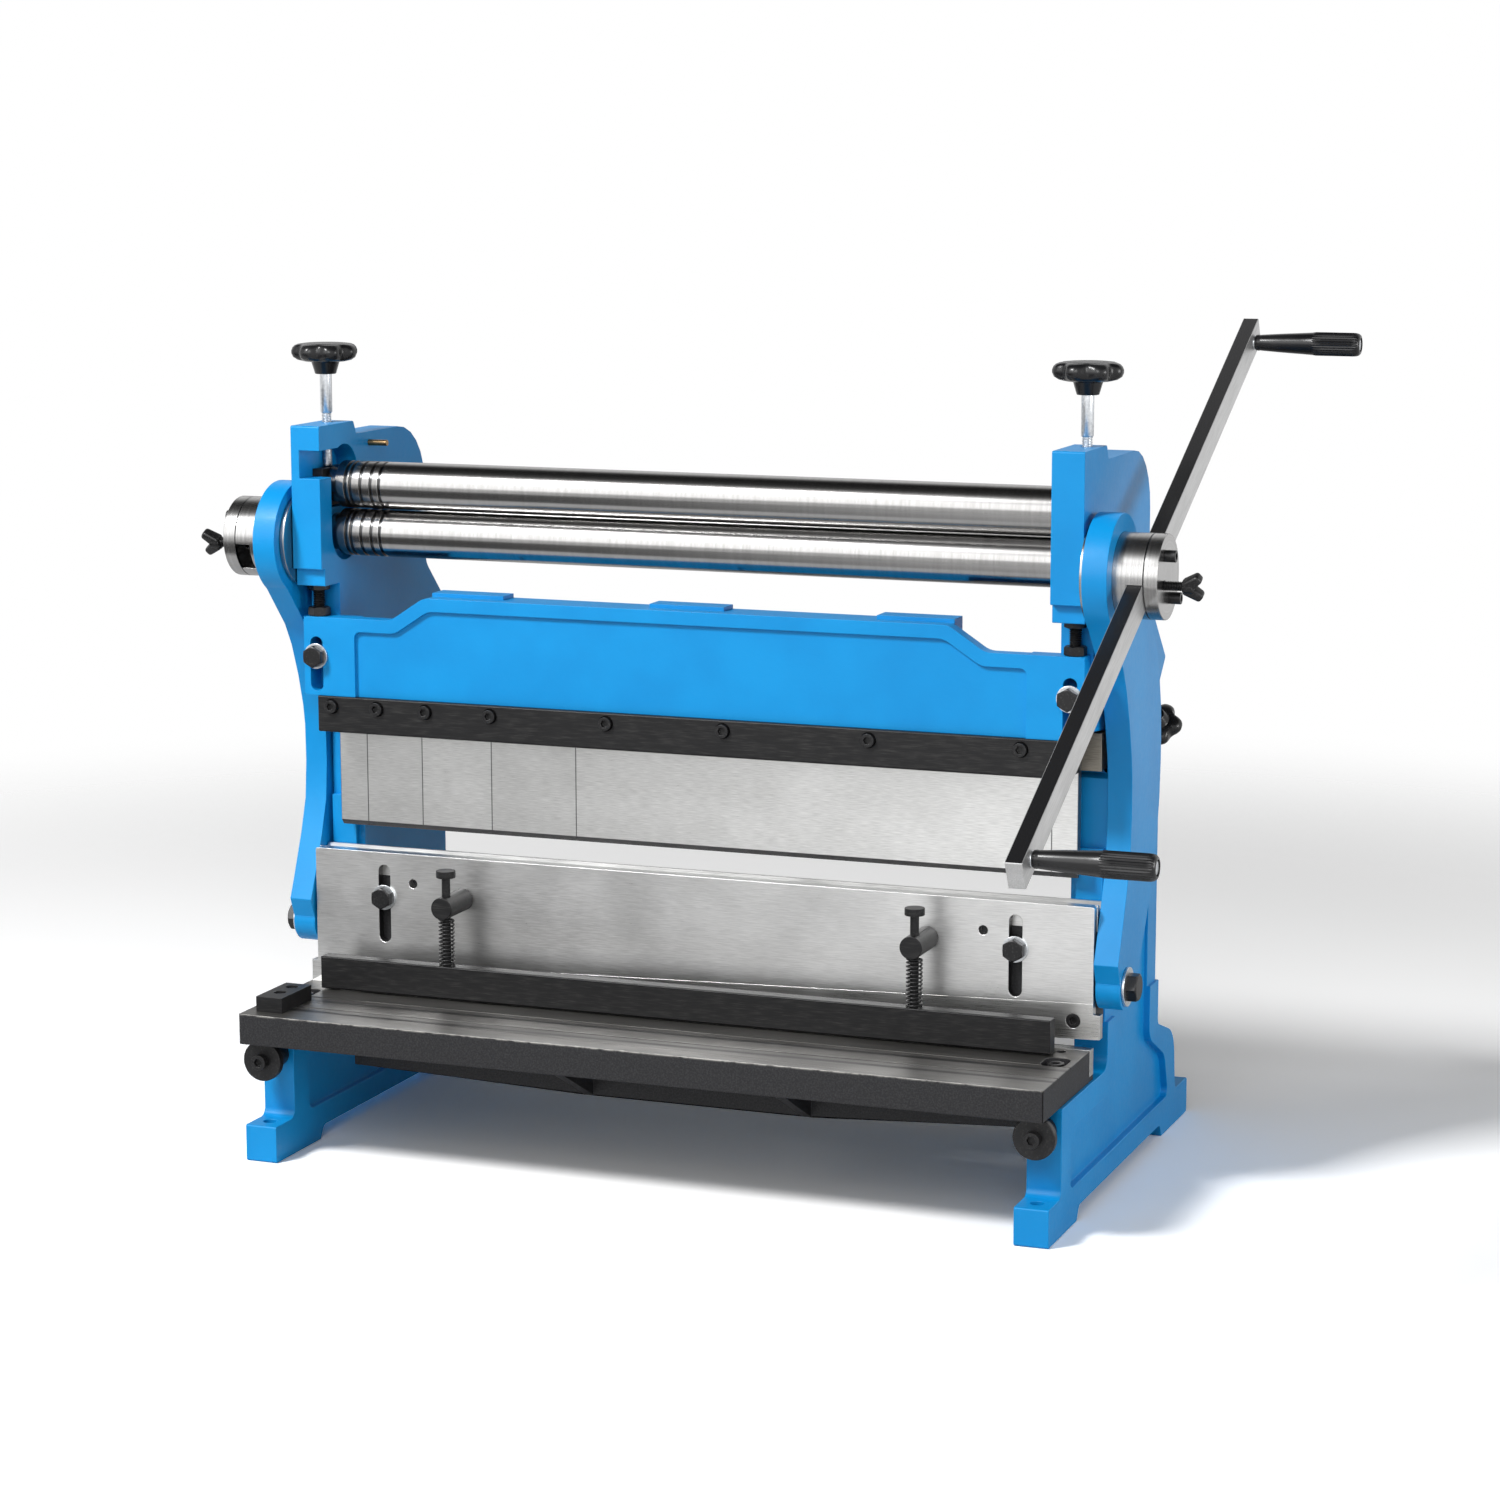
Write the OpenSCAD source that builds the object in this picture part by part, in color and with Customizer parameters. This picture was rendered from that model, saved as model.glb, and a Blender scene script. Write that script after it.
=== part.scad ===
// Bench machine for sheet metal: a shear on the table, a press brake above it and three slip rolls on top.
// X runs along the rolls, Y from the front to the back, Z up. The origin lies on the floor,
// in the middle of the four foot bolts. One crank raises the press beam for the brake and lowers it
// for the shear, through an eccentric hub and a connecting rod at each end.

/* [Stand] */
// Width over the outer faces of the feet
frame_span = 810; // [790:1:830]
// Length of each foot from front to back
foot_len = 494; // [480:1:510]
// Height of the feet
foot_height = 36; // [30:1:42]
// Rise of the arch under each foot
arch_rise = 13; // [6:1:20]
// Thickness of the side castings at the leg
leg_thick = 33; // [30:1:36]
// Height of the frame heads
frame_height = 705; // [700:1:720]
// Thickness of the posts at the head
post_thick = 31; // [29:1:34]
// Step in from the outer face of the foot to the post
post_inset = 7; // [6:1:9]
// Front of the feet back to the front of the posts
post_setback = 109; // [106:1:112]
// Front of the feet back to the pedestals under the table
pedestal_setback = 39; // [36:1:44]
// Front of the feet back to the uprights
upright_setback = 190; // [188:1:196]
// Diameter of the foot bolt holes
foot_hole_d = 13; // [9:1:16]
// Foot bolt hole in from the end of its foot
foot_hole_inset = 19; // [16:1:22]

/* [Table and bed blade] */
// Height of the table top over the floor
table_top = 149.5; // [146:0.5:151]
// Thickness of the table plate
table_thick = 30; // [26:1:34]
// Table short of the feet at each end
table_short = 2.5; // [0:0.5:8]
// Table in front of the feet
table_overhang = 13.5; // [8:0.5:20]
// Front of the feet back to the shear plane
shear_setback = 149; // [148:0.5:149.5]
// Height of the bed blade
bed_blade_h = 25; // [20:1:28]
// Thickness of the bed blade
bed_blade_t = 12; // [10:1:14]

/* [Press beam and shear blade] */
// Gap between the fingers and the vee die at rest
brake_gap = 22; // [21:0.5:24]
// Thickness of the slotted front plate
plate_t = 10; // [8:0.5:12]
// Thickness of the beam casting behind the plate
beam_t = 24; // [22:0.5:26]
// Lower edge of the blade over the table at its right end
blade_gap = 7.5; // [6:0.5:10]
// Rise of the blade from its left end to its right end
blade_rise = 23.5; // [18:0.5:24]
// Height of the blade strip
blade_h = 34; // [30:1:38]
// Width of the vee
vee_w = 16; // [14:1:18]

/* [Hold-down] */
// Hold-down bar short of the front plate at each end
hold_short = 27.5; // [20:0.5:40]
// Height of the hold-down bar
hold_h = 32; // [28:1:34]
// Depth of the hold-down bar
hold_t = 16; // [14:1:18]
// Gap from the table to the bar at rest
hold_gap = 1.7; // [1.7:0.1:4]
// Hold-down bolts in from the slots of the front plate
hold_in = 86; // [60:1:110]

/* [Upper beam and fingers] */
// Upper beam short of the posts at each end
upper_short = 2; // [0:0.5:6]
// Front of the feet back to the face of the upper beam
upper_setback = 124; // [123:0.5:126]
// Height of the lugs of the upper beam
lug_h = 77.5; // [74:0.5:80]
// Rise of the middle of the upper beam over its lugs
crown_rise = 23.5; // [20:0.5:26]
// Width of the narrow fingers, from left to right
narrow_widths = [30, 60, 75, 90];
// Width of the last finger; the wide one takes the rest
end_width = 25; // [20:1:40]
// Thickness of the fingers
finger_t = 10; // [9:0.5:11]

/* [Rolls] */
// Diameter of the three rolls
roll_d = 46; // [44:0.5:46]
// Gap between the upper and the lower roll at rest
roll_nip = 0.8; // [0.7:0.1:1]
// Top of the heads down to the lower roll axis
roll_drop = 106.6; // [105:0.2:108]
// Front of the feet back to the roll axes
roll_setback = 160.5; // [160:0.5:162]
// Travel of the rear roll along its slot
rear_travel = 45; // [35:1:48]
// Teeth on each roll gear
gear_teeth = 15; // [14:1:17]

/* [Crank and rods] */
// Distance from the roll axis to the hub axis
throw = 23.7; // [23.5:0.1:24]
// Diameter of the hubs
hub_d = 78; // [76:0.5:80]
// Outer diameter of the eye of a rod
eye_d = 112; // [108:1:116]
// Thickness of the rods
rod_t = 23.5; // [22:0.5:25]
// Length of the crank bar
bar_len = 880; // [800:5:900]
// Depth of the crank bar across its length
bar_w = 27; // [24:0.5:28]
// Thickness of the crank bar along X
bar_t = 15; // [13:0.5:16]
// Length of the hand grips
grip_len = 104; // [90:1:120]
// Largest diameter of the hand grips
grip_d = 23; // [20:0.5:26]

/* [Hidden] */
$fn = 48;

// Colours
blue = [0.10, 0.52, 0.86];
iron = [0.20, 0.20, 0.21];
steel = [0.72, 0.72, 0.70];
dark_steel = [0.16, 0.16, 0.17];
zinc = [0.80, 0.82, 0.84];
bronze = [0.66, 0.48, 0.24];
black = [0.07, 0.07, 0.08];

// Clearances and overruns
cut = 1;
slide_gap = 0.3;
bore_gap = 0.05;
screw_gap = 0.3;

// Radii of the edges and fillets of the castings
fine_r = 1;
edge_r = 2;
rim_r = 3;
fillet_r = 8;
sweep_r = 14;
wide_r = 20;

// Screws and bolts
screw_d = 8;
small_d = 6;
head_share = 1.625;
seat_d = head_share * screw_d + cut;
screw_bite = 16;
tap_depth = 20;
bolt_d = 12;
hex_flat = 19;
hex_h = 8;
washer_d = 25;
washer_t = 2.5;

// Places along Y, counted from the middle of the feet
front_y = -foot_len / 2;
post_y = front_y + post_setback;
shear_y = front_y + shear_setback;
upper_y = front_y + upper_setback;
roll_y = front_y + roll_setback;
upright_y = front_y + upright_setback;
pedestal_y = front_y + pedestal_setback;

// Places along X of the right side frame
foot_out = frame_span / 2;
leg_in = foot_out - leg_thick;
post_out = foot_out - post_inset;
post_in = post_out - post_thick;
upright_out = foot_out - post_inset / 2;
foot_hole_x = foot_out - leg_thick / 2;
foot_hole_y = foot_len / 2 - foot_hole_inset;
screw_share = 7 / 11;
screw_x = foot_out - screw_share * leg_thick;

// Head of the frame: blocks, gear and screws
roll_z = frame_height - roll_drop;
upper_z = roll_z + roll_d + roll_nip;
roll_end = post_in - cut;
gear_depth = 10;
block_depth = 12;
pocket_gap = 4.5;
pocket_r = roll_d / 2 + pocket_gap;
head_wall = 21;
pocket_top = frame_height - head_wall;
pocket_w = 2 * pocket_r;
block_w = 50;
block_low = 21;
block_high = 16;
block_x0 = post_in + gear_depth + 2 * slide_gap;
block_x1 = post_in + gear_depth + block_depth - slide_gap;
journal_d = 25;
shaft_d = 23;
bush_d = 34;
pinch_d = 10;
window_wall = 3;
window_h = 27;
window_high = pocket_top - window_wall;
window_low = window_high - window_h;

// Table
table_low = table_top - table_thick;
table_x = foot_out - table_short;
table_front = front_y - table_overhang;
table_back = shear_y - slide_gap / 2;
table_screw_set = 88;
table_screw_x = screw_x;
table_screw_y = front_y + table_screw_set;
disc_r = 20;
disc_set = 5;
disc_y0 = front_y + disc_set;
disc_t = 8;
disc_z = table_low - disc_r - slide_gap;

// Press beam, front plate and blade
plate_y1 = shear_y + slide_gap / 2;
plate_y2 = plate_y1 + plate_t;
beam_y2 = plate_y2 + beam_t;
plate_x = upright_out;
blade_over = 6.5;
blade_x = plate_x + blade_over;
blade_low = table_top + blade_gap;
seam_right = blade_low + blade_h;
seam_left = seam_right - blade_rise;
vee_shift = 1;
vee_y = (plate_y2 + beam_y2) / 2 - vee_shift;
vee_h = 25;
beam_over = 0.5;
beam_x = plate_x + beam_over;
// The plate and the beam take their height from the room over the table
plate_share = 0.2385;
plate_h = plate_share * (frame_height - table_top);
plate_top = table_top + plate_h;
pivot_set = 170;
pivot_share = 0.419;
pivot_y = front_y + pivot_set;
pivot_z = table_top + pivot_share * plate_h;
pivot_d = 16;
boss_d = 22;
boss_share = 0.6943;
boss_z = table_top + boss_share * plate_h;
plate_slot_in = 75.5;
plate_slot_share = 0.6113;
plate_bolt_share = 0.6604;
plate_long_share = 0.5887;
plate_slot_x = plate_x - plate_slot_in;
plate_slot_z = table_top + plate_slot_share * plate_h;
plate_slot_h = plate_long_share * plate_h;
plate_slot_w = 13;
plate_slot_half = (plate_slot_h - plate_slot_w) / 2;
plate_bolt_z = table_top + plate_bolt_share * plate_h;
hold_set = 111;
hold_bolt_y = front_y + hold_set;
hold_x = plate_slot_x - hold_in;
hold_half = plate_x - hold_short;
hold_low = table_top + hold_gap;
hold_top = hold_low + hold_h;

// Upper beam
upper_x = post_out - upper_short;
step_drop = 32.4;
step_h = 17;
jack_room = 31.5;
step_z = roll_z - step_drop;
step_low = step_z - step_h;
lug_top = step_low - jack_room;
upper_low = lug_top - lug_h;
upper_top = lug_top + crown_rise;
lug_depth = 22;
lug_back = upper_y + lug_depth;
upper_bolt_x = post_in + post_thick / 2;
upper_bolt_up = 39;
upper_bolt_z = upper_low + upper_bolt_up;
upper_slot_w = 13.5;
upper_slot_up = 4.5;
upper_slot_h = 53.5;
upper_slot_low = upper_low + upper_slot_up;
upper_slot_high = upper_slot_low + upper_slot_h;
finger_y = vee_y - finger_t / 2;
finger_back = finger_y + finger_t;
finger_tip = plate_top + brake_gap;
finger_drop = 16;
finger_top = upper_low - finger_drop;
clamp_h = 35.5;
clamp_low = upper_low - clamp_h;
clamp_proud = 2;
clamp_y = upper_y - clamp_proud;
clamp_short = 15;
clamp_x = upper_x - clamp_short;
backing_t = 20;
clamp_screw_shares = [-0.9606, -0.832, -0.6955, -0.5144, -0.1955, 0.1181, 0.4987, 0.8845];
clamp_screw_drop = 10;
clamp_screw_z = upper_low - clamp_screw_drop;
backing_screw_shares = [-0.82, -0.492, -0.164, 0.164, 0.492, 0.82];
flange_t = 15;
finger_short = 1;
finger_total = 2 * (clamp_x - finger_short);
wide_width = finger_total - total(narrow_widths, len(narrow_widths)) - end_width;
finger_widths = concat(narrow_widths, [wide_width, end_width]);

// Crank and rods
rest_angle = 14;
hub_y = roll_y - throw * cos(rest_angle);
hub_z = roll_z - throw * sin(rest_angle);
rod_gap = 2;
rod_in = upright_out + rod_gap;
rod_out = rod_in + rod_t;
hub_reach = 28.5;
hub_out = rod_out + hub_reach;
cap_t = 13;
cap_out = hub_out + cap_t;
bar_angle = 26.8;
bar_x0 = hub_out - bar_t - slide_gap;
grip_inset = 24;
grip_r = bar_len / 2 - grip_inset;
cap_screw_r = 22.5;
lock_r = 14;
collar_d = 92;
rod_foot_r = 22;
pivot_slack = 4;
pivot_shift = 2.75;

// Rear roll
rear_set = 101.5;
rear_up = 1.6;
rear_y = roll_y + rear_set;
rear_z = roll_z + rear_up;
rear_block_w = 38;
rear_block_l = 40;
rear_screw_d = 10;
lug_reach = 186.5;
rear_knob_reach = 270;
rear_screw_x = post_in + (gear_depth + block_depth) / 2;

// Sum of the first n numbers of a list
function total(v, n) = n == 0 ? 0 : v[n - 1] + total(v, n - 1);

// Outlines: a corner is [a, b, r], rounded to the radius r
function unit(v) = v / norm(v);
function flat(q) = [q[0], q[1]];
function corner(p, q, s, r, n) = let (
    u = unit(p - q), v = unit(s - q), half = acos(u * v) / 2, c = q + unit(u + v) * r / sin(half),
    a = q + u * r / tan(half) - c, b = q + v * r / tan(half) - c,
    start = atan2(a.y, a.x), turn = (atan2(b.y, b.x) - start + 540) % 360 - 180)
    [for (i = [0:n]) c + r * [cos(start + turn * i / n), sin(start + turn * i / n)]];
function rounded(c, n = 5) = [for (i = [0:len(c) - 1]) each (c[i][2] == 0 ? [flat(c[i])]
    : corner(flat(c[(i + len(c) - 1) % len(c)]), flat(c[i]), flat(c[(i + 1) % len(c)]), c[i][2], n))];

// A plate of the outline pts: in Y and Z from x0 to x1, in X and Z from y0 to y1, in X and Y from z0 to z1
module slab_x(x0, x1, pts) translate([x0, 0, 0]) rotate([90, 0, 90]) linear_extrude(x1 - x0) polygon(pts);
module slab_y(y0, y1, pts) translate([0, y1, 0]) rotate([90, 0, 0]) linear_extrude(y1 - y0) polygon(pts);
module slab_z(z0, z1, pts) translate([0, 0, z0]) linear_extrude(z1 - z0) polygon(pts);
module block(x0, x1, y0, y1, z0, z1) translate([x0, y0, z0]) cube([x1 - x0, y1 - y0, z1 - z0]);
module rod_x(d, x0, x1, y, z) translate([x0, y, z]) rotate([0, 90, 0]) cylinder(d = d, h = x1 - x0);
module rod_y(d, x, y0, y1, z) translate([x, y1, z]) rotate([90, 0, 0]) cylinder(d = d, h = y1 - y0);
module rod_z(d, x, y, z0, z1) translate([x, y, z0]) cylinder(d = d, h = z1 - z0);
module both_sides() {
    children();
    mirror([1, 0, 0]) children();
}

// Screws stand on the origin with the shank down and the head up
module socket_screw(d, l, head_d = 0, head_h = 0) let (
    w = head_d > 0 ? head_d : head_share * d, h = head_h > 0 ? head_h : d) difference() {
    union() {
        translate([0, 0, -l]) cylinder(d = d, h = l + cut);
        cylinder(d = w, h = h);
    }
    translate([0, 0, h * 0.45]) cylinder(d = w * 0.58, h = h, $fn = 6);
}
module hex_bolt(d, l, flats, head_h) {
    translate([0, 0, -l]) cylinder(d = d, h = l + cut);
    cylinder(d = flats / cos(30), h = head_h, $fn = 6);
}
module washer(d, hole, t) difference() {
    cylinder(d = d, h = t);
    translate([0, 0, -cut]) cylinder(d = hole, h = t + 2 * cut);
}
// Turn a part that points up so that it points to the front, or to the right
module to_front(x, y, z) translate([x, y, z]) rotate([90, 0, 0]) children();
module to_right(x, y, z) translate([x, y, z]) rotate([0, 90, 0]) children();

// Star knob with round lobes, standing on the origin
module star_knob(r, h, lobes, hub_r, hub_h) {
    lobe_r = r * 0.3;
    cylinder(r = hub_r, h = hub_h + cut);
    translate([0, 0, hub_h]) difference() {
        union() {
            cylinder(r = r * 0.76, h = h);
            for (i = [0:lobes - 1]) rotate(i * 360 / lobes) translate([r - lobe_r, 0, 0])
                cylinder(r = lobe_r, h = h);
        }
        for (i = [0:lobes - 1]) rotate((i + 0.5) * 360 / lobes) translate([r * 0.98, 0, -cut])
            cylinder(r = r * 0.17, h = h + 2 * cut);
    }
}

// Side frame casting, right hand

// Outline of the whole side in Y and Z
lug_y = rear_y + lug_reach / sqrt(2);
lug_z = rear_z - lug_reach / sqrt(2);
lug_half = 12;
head_reach = 76;
head_back = rear_y + head_reach;
leg_short = 8;
leg_back = lug_y - lug_half - leg_short;
step_depth = 7;
tie_in = 30;
tie_y = leg_back - tie_in;
tie_z = 85;
tie_d = 25;
tie_pitch = 22;
tie_wide_share = 0.7;
foot_pad = 92;
heel_pad = 99;
arch_run = 7;
heel_set = 48;
heel_lean = 8;
heel_rise = 62;
heel_top = 84;
heel_r = 34;
crown_drop = 13;
crown_run = 6;
head_len = 73;
head_r = 60;
seat_run = 6;
relief_depth = 7;
relief_drop = 5;
relief_run = 4;
frame_outline = rounded([
    [front_y, 0, edge_r], [front_y + foot_pad, 0, edge_r],
    [front_y + foot_pad + arch_run, arch_rise, fillet_r],
    [-front_y - heel_pad - arch_run, arch_rise, fillet_r], [-front_y - heel_pad, 0, edge_r],
    [-front_y, 0, edge_r], [-front_y, foot_height, rim_r], [-front_y - heel_set, foot_height, fillet_r],
    [-front_y - heel_set - heel_lean, foot_height + heel_rise, heel_r],
    [leg_back, foot_height + heel_top, fillet_r], [leg_back, lug_z - lug_half - leg_short, wide_r],
    [lug_y - lug_half, lug_z - lug_half, rim_r], [lug_y + lug_half, lug_z + lug_half, rim_r],
    [head_back, lug_z + lug_half + lug_y + lug_half - head_back, wide_r],
    [head_back, frame_height - crown_drop, head_r],
    [post_y + head_len + crown_run, frame_height - crown_drop, rim_r],
    [post_y + head_len, frame_height, rim_r], [post_y, frame_height, edge_r],
    [post_y, step_z, fine_r], [post_y + step_depth, step_z, fine_r],
    [post_y + step_depth, step_low, fine_r], [lug_back, step_low, 0], [lug_back, upper_low + seat_run, 0],
    [upright_y + relief_depth, upper_low + cut, 0], [upright_y + relief_depth, clamp_low - relief_drop, 0],
    [upright_y, clamp_low - relief_drop - relief_run, 0], [upright_y, table_low, sweep_r],
    [pedestal_y, table_low, 0], [pedestal_y, foot_height, fillet_r], [front_y, foot_height, edge_r]], 6);
// Hollow on the outer side of the leg, inside its rim
panel_front = 70;
panel_back = 76;
panel_heel = 16;
panel_heel_r = 24;
panel_rim = 26;
panel_back_rim = 32;
panel_share = 0.261;
panel_top = table_top + panel_share * (frame_height - table_top);
panel_outline = rounded([
    [front_y + panel_front, foot_height, fillet_r], [-front_y - panel_back, foot_height, fillet_r],
    [-front_y - panel_back - panel_heel, foot_height + heel_rise - panel_heel, panel_heel_r],
    [leg_back - panel_back_rim, foot_height + heel_top - leg_short, wide_r],
    [leg_back - panel_back_rim, panel_top, sweep_r], [upright_y + panel_rim, panel_top, sweep_r],
    [upright_y + panel_rim, table_low - leg_short, sweep_r], [upright_y, table_low - panel_rim, sweep_r],
    [front_y + panel_front, table_low - panel_rim, fillet_r]], 5);
// Hollow on its inner side, under the table
inner_end = tie_y - tie_wide_share * tie_d - leg_short;
inner_outline = rounded([
    [front_y + panel_front, foot_height, fillet_r], [inner_end, foot_height, fillet_r],
    [inner_end, table_low - panel_rim, fillet_r],
    [front_y + panel_front, table_low - panel_rim, fillet_r]], 5);
panel_depth = 7;
leg_over = 15;
leg_top = table_top + leg_over;
upright_drop = 40;

module arch_pocket(x0, x1, w, z0) {
    block(x0, x1, roll_y - w / 2, roll_y + w / 2, z0, pocket_top - pocket_r);
    intersection() {
        rod_x(pocket_w, x0, x1, roll_y, pocket_top - pocket_r);
        block(x0, x1, roll_y - w / 2, roll_y + w / 2, z0, pocket_top);
    }
}
// Along the slot of the rear roll: children lie along +X here, which points down and to the back
module on_rear_axis(x) translate([x, rear_y, rear_z]) rotate([0, 0, 90]) rotate([0, 45, 0]) children();

// The window in the front of the head is open on one side only
module side_frame(window) difference() {
    union() {
        intersection() {
            slab_x(post_in, post_out, frame_outline);
            block(0, foot_out, front_y, -front_y, leg_top, frame_height + cut);
        }
        intersection() {
            slab_x(leg_in, upright_out, frame_outline);
            block(0, foot_out, front_y, -front_y, leg_top - cut, upper_low - upright_drop);
        }
        intersection() {
            slab_x(leg_in, foot_out, frame_outline);
            block(0, foot_out, front_y, -front_y, 0, leg_top);
        }
    }
    // hollow sides of the leg
    slab_x(foot_out - panel_depth, foot_out + cut, panel_outline);
    slab_x(leg_in - cut, leg_in + panel_depth, inner_outline);
    // room for the gears, the roll blocks and the front window
    arch_pocket(post_in - cut, post_in + gear_depth, pocket_w, roll_z);
    rod_x(pocket_w, post_in - cut, post_in + gear_depth, roll_y, roll_z);
    arch_pocket(post_in - cut, block_x1 + slide_gap, block_w + 2 * slide_gap, upper_z - block_low - 2 * cut);
    if (window) block(post_in - cut, block_x1 + slide_gap, post_y - cut, roll_y, window_low, window_high);
    // bush of the lower roll
    rod_x(bush_d, post_in, post_out + cut, roll_y, roll_z);
    // pinch screw
    rod_z(pinch_d + 2 * screw_gap, screw_x, roll_y, pocket_top - cut, frame_height + cut);
    // sloping slot of the rear roll and its screw
    on_rear_axis(0) block(-rear_block_l / 2 - rear_travel - cut, rear_block_l / 2 + cut,
        -block_x1 - slide_gap, -post_in + cut, -rear_block_w / 2 - slide_gap, rear_block_w / 2 + slide_gap);
    on_rear_axis(0) translate([0, -rear_screw_x, 0]) rotate([0, 90, 0])
        cylinder(d = rear_screw_d + 2 * screw_gap, h = lug_reach + cut);
    // foot bolts
    for (y = [-foot_hole_y, foot_hole_y]) rod_z(foot_hole_d, foot_hole_x, y, -cut, foot_height + cut);
    // screws of the upper beam, the jack bolts, the table, the discs and the stop pin
    rod_y(bolt_d + bore_gap, upper_bolt_x, lug_back - cut, lug_back + bolt_bite + cut, upper_bolt_z);
    rod_z(bolt_d + bore_gap, screw_x, (upper_y + lug_back) / 2, step_low - cut, step_z + cut);
    rod_z(screw_d + bore_gap, table_screw_x, table_screw_y, table_low - tap_depth, table_low + cut);
    rod_y(screw_d + bore_gap, foot_hole_x, pedestal_y - cut, pedestal_y + tap_depth, disc_z);
    rod_x(pin_d + bore_gap, post_in - cut, post_in + pin_l / 2, pin_y, pin_z);
    // screws of the rear tie bar and the wear strip
    for (z = [-tie_pitch, tie_pitch])
        rod_x(screw_d + bore_gap, leg_in - cut, leg_in + tap_depth, tie_y, tie_z + z);
    for (z = strip_screw_zs)
        rod_y(strip_screw_d + bore_gap, strip_x, upright_y - cut, upright_y + strip_bite + cut, z);
}

module left_frame() color(blue) mirror([1, 0, 0]) side_frame(true);
module right_frame() color(blue) side_frame(false);

// Stop pins in the heads
pin_d = 6;
pin_l = 30;
pin_set = 215;
pin_y = front_y + pin_set;
pin_z = window_high;
module stop_pins() color(bronze) both_sides()
    rod_x(pin_d, post_in - pin_l * 2 / 3, post_in + pin_l / 3, pin_y, pin_z);

// Rear tie bar between the legs, with a screwed plate at each end
tie_margin = 12;
tie_plate_t = 10;
tie_half = tie_wide_share * tie_d;
module rear_tie_bar() color(blue) {
    rod_x(tie_d, -leg_in + tie_plate_t, leg_in - tie_plate_t, tie_y, tie_z);
    both_sides() difference() {
        block(leg_in - tie_plate_t, leg_in, tie_y - tie_half, tie_y + tie_half,
            tie_z - tie_pitch - tie_margin, tie_z + tie_pitch + tie_margin);
        for (z = [-tie_pitch, tie_pitch])
            rod_x(screw_d + 2 * screw_gap, leg_in - tie_plate_t - cut, leg_in + cut, tie_y, tie_z + z);
    }
    color(black) both_sides() for (z = [-tie_pitch, tie_pitch])
        translate([leg_in - tie_plate_t, tie_y, tie_z + z]) rotate([0, -90, 0])
            socket_screw(screw_d, tie_plate_t + screw_bite);
}

// Wear strips on the front edges of the uprights, which the press beam slides on
strip_in = 2;
strip_x = leg_in + leg_thick / 2 - strip_in;
strip_w = 26;
strip_t = upright_y - beam_y2 - slide_gap;
strip_up = 10.5;
strip_share = 0.392;
strip_low = table_top + strip_up;
strip_high = plate_top + strip_share * (clamp_low - plate_top);
strip_screw_d = 5;
strip_screw_in = 20;
strip_bite = 10;
strip_screw_zs = [strip_low + strip_screw_in, strip_high - strip_screw_in];
module wear_strips() color(steel) both_sides() {
    block(strip_x - strip_w / 2, strip_x + strip_w / 2, upright_y - strip_t, upright_y, strip_low, strip_high);
    for (z = strip_screw_zs) rod_y(strip_screw_d, strip_x, upright_y - cut, upright_y + strip_bite, z);
}

// Table casting with its apron, gussets, grooves and screw slots
apron_t = 10;
apron_set = 100;
apron_depth = 49;
apron_y = front_y + apron_set;
gusset_set = 4;
groove_sets = [31.5, 72];
groove_w = 1.6;
groove_depth = 1;
slot_w = 24;
slot_l = 32;
slot_r = 9;
slot_depth = 9;
dowel_d = 9;
dowel_in = 6;
dowel_back = 38;
dowel_depth = 14;
table_head_d = 16;
disc_head_d = 15;
sleeve_d = 24;
fence_in = 11.5;
fence_x0 = -table_x + fence_in;
fence_w = 28;
fence_set = 1;
fence_y0 = front_y + fence_set;
fence_l = 61;
fence_h = 15;
fence_top = table_top + fence_h;
fence_sink = 8;
fence_screw_sets = [24, 48];
fence_screw_x = fence_x0 + fence_w / 2;
fence_seat_d = 12;
// Lower edge of the apron: places along X as shares of the width between the legs, with its depth there
apron_shares = [[-0.906, 0.857], [-0.231, 1], [0.368, 1], [0.968, 0.776]];
gusset_shares = [-0.231, 0.368];
apron_left = apron_shares[0][0] * leg_in;
apron_right = apron_shares[3][0] * leg_in;
module table() color(iron) difference() {
    union() {
        slab_z(table_low, table_top, rounded([[-table_x, table_front, edge_r], [table_x, table_front, edge_r],
            [table_x, table_back, fine_r], [-table_x, table_back, fine_r]], 3));
        slab_y(apron_y, apron_y + apron_t, concat(
            [for (s = apron_shares) [s[0] * leg_in, table_low - s[1] * apron_depth]],
            [[apron_right, table_low + cut], [apron_left, table_low + cut]]));
        for (s = gusset_shares) slab_x(s * leg_in - apron_t / 2, s * leg_in + apron_t / 2,
            [[front_y + gusset_set, table_low + cut], [apron_y + cut, table_low - apron_depth],
            [apron_y + cut, table_low + cut]]);
    }
    // seat of the bed blade and its screws
    block(-table_x - cut, table_x + cut, table_back - bed_blade_t, table_back + cut,
        table_top - bed_blade_h, table_top + cut);
    // grooves along the top
    for (y = groove_sets) block(-table_x + slot_w, table_x + cut, front_y + y, front_y + y + groove_w,
        table_top - groove_depth, table_top + cut);
    // sunk slots for the table screws, and dowel holes behind them
    both_sides() {
        slab_z(table_top - slot_depth, table_top + cut, [for (p = rounded([
            [-slot_w / 2, -slot_l / 2, slot_r], [slot_w / 2, -slot_l / 2, slot_r],
            [slot_w / 2, slot_l / 2, slot_r], [-slot_w / 2, slot_l / 2, slot_r]]))
            p + [table_screw_x, table_screw_y]]);
        rod_z(screw_d + 2 * screw_gap, table_screw_x, table_screw_y, table_low - cut, table_top);
        rod_z(dowel_d, table_screw_x - dowel_in, table_screw_y + dowel_back,
            table_top - dowel_depth, table_top + cut);
    }
    for (y = fence_screw_sets)
        rod_z(small_d + bore_gap, fence_screw_x, front_y + y, table_top - tap_depth, table_top + cut);
}
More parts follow.
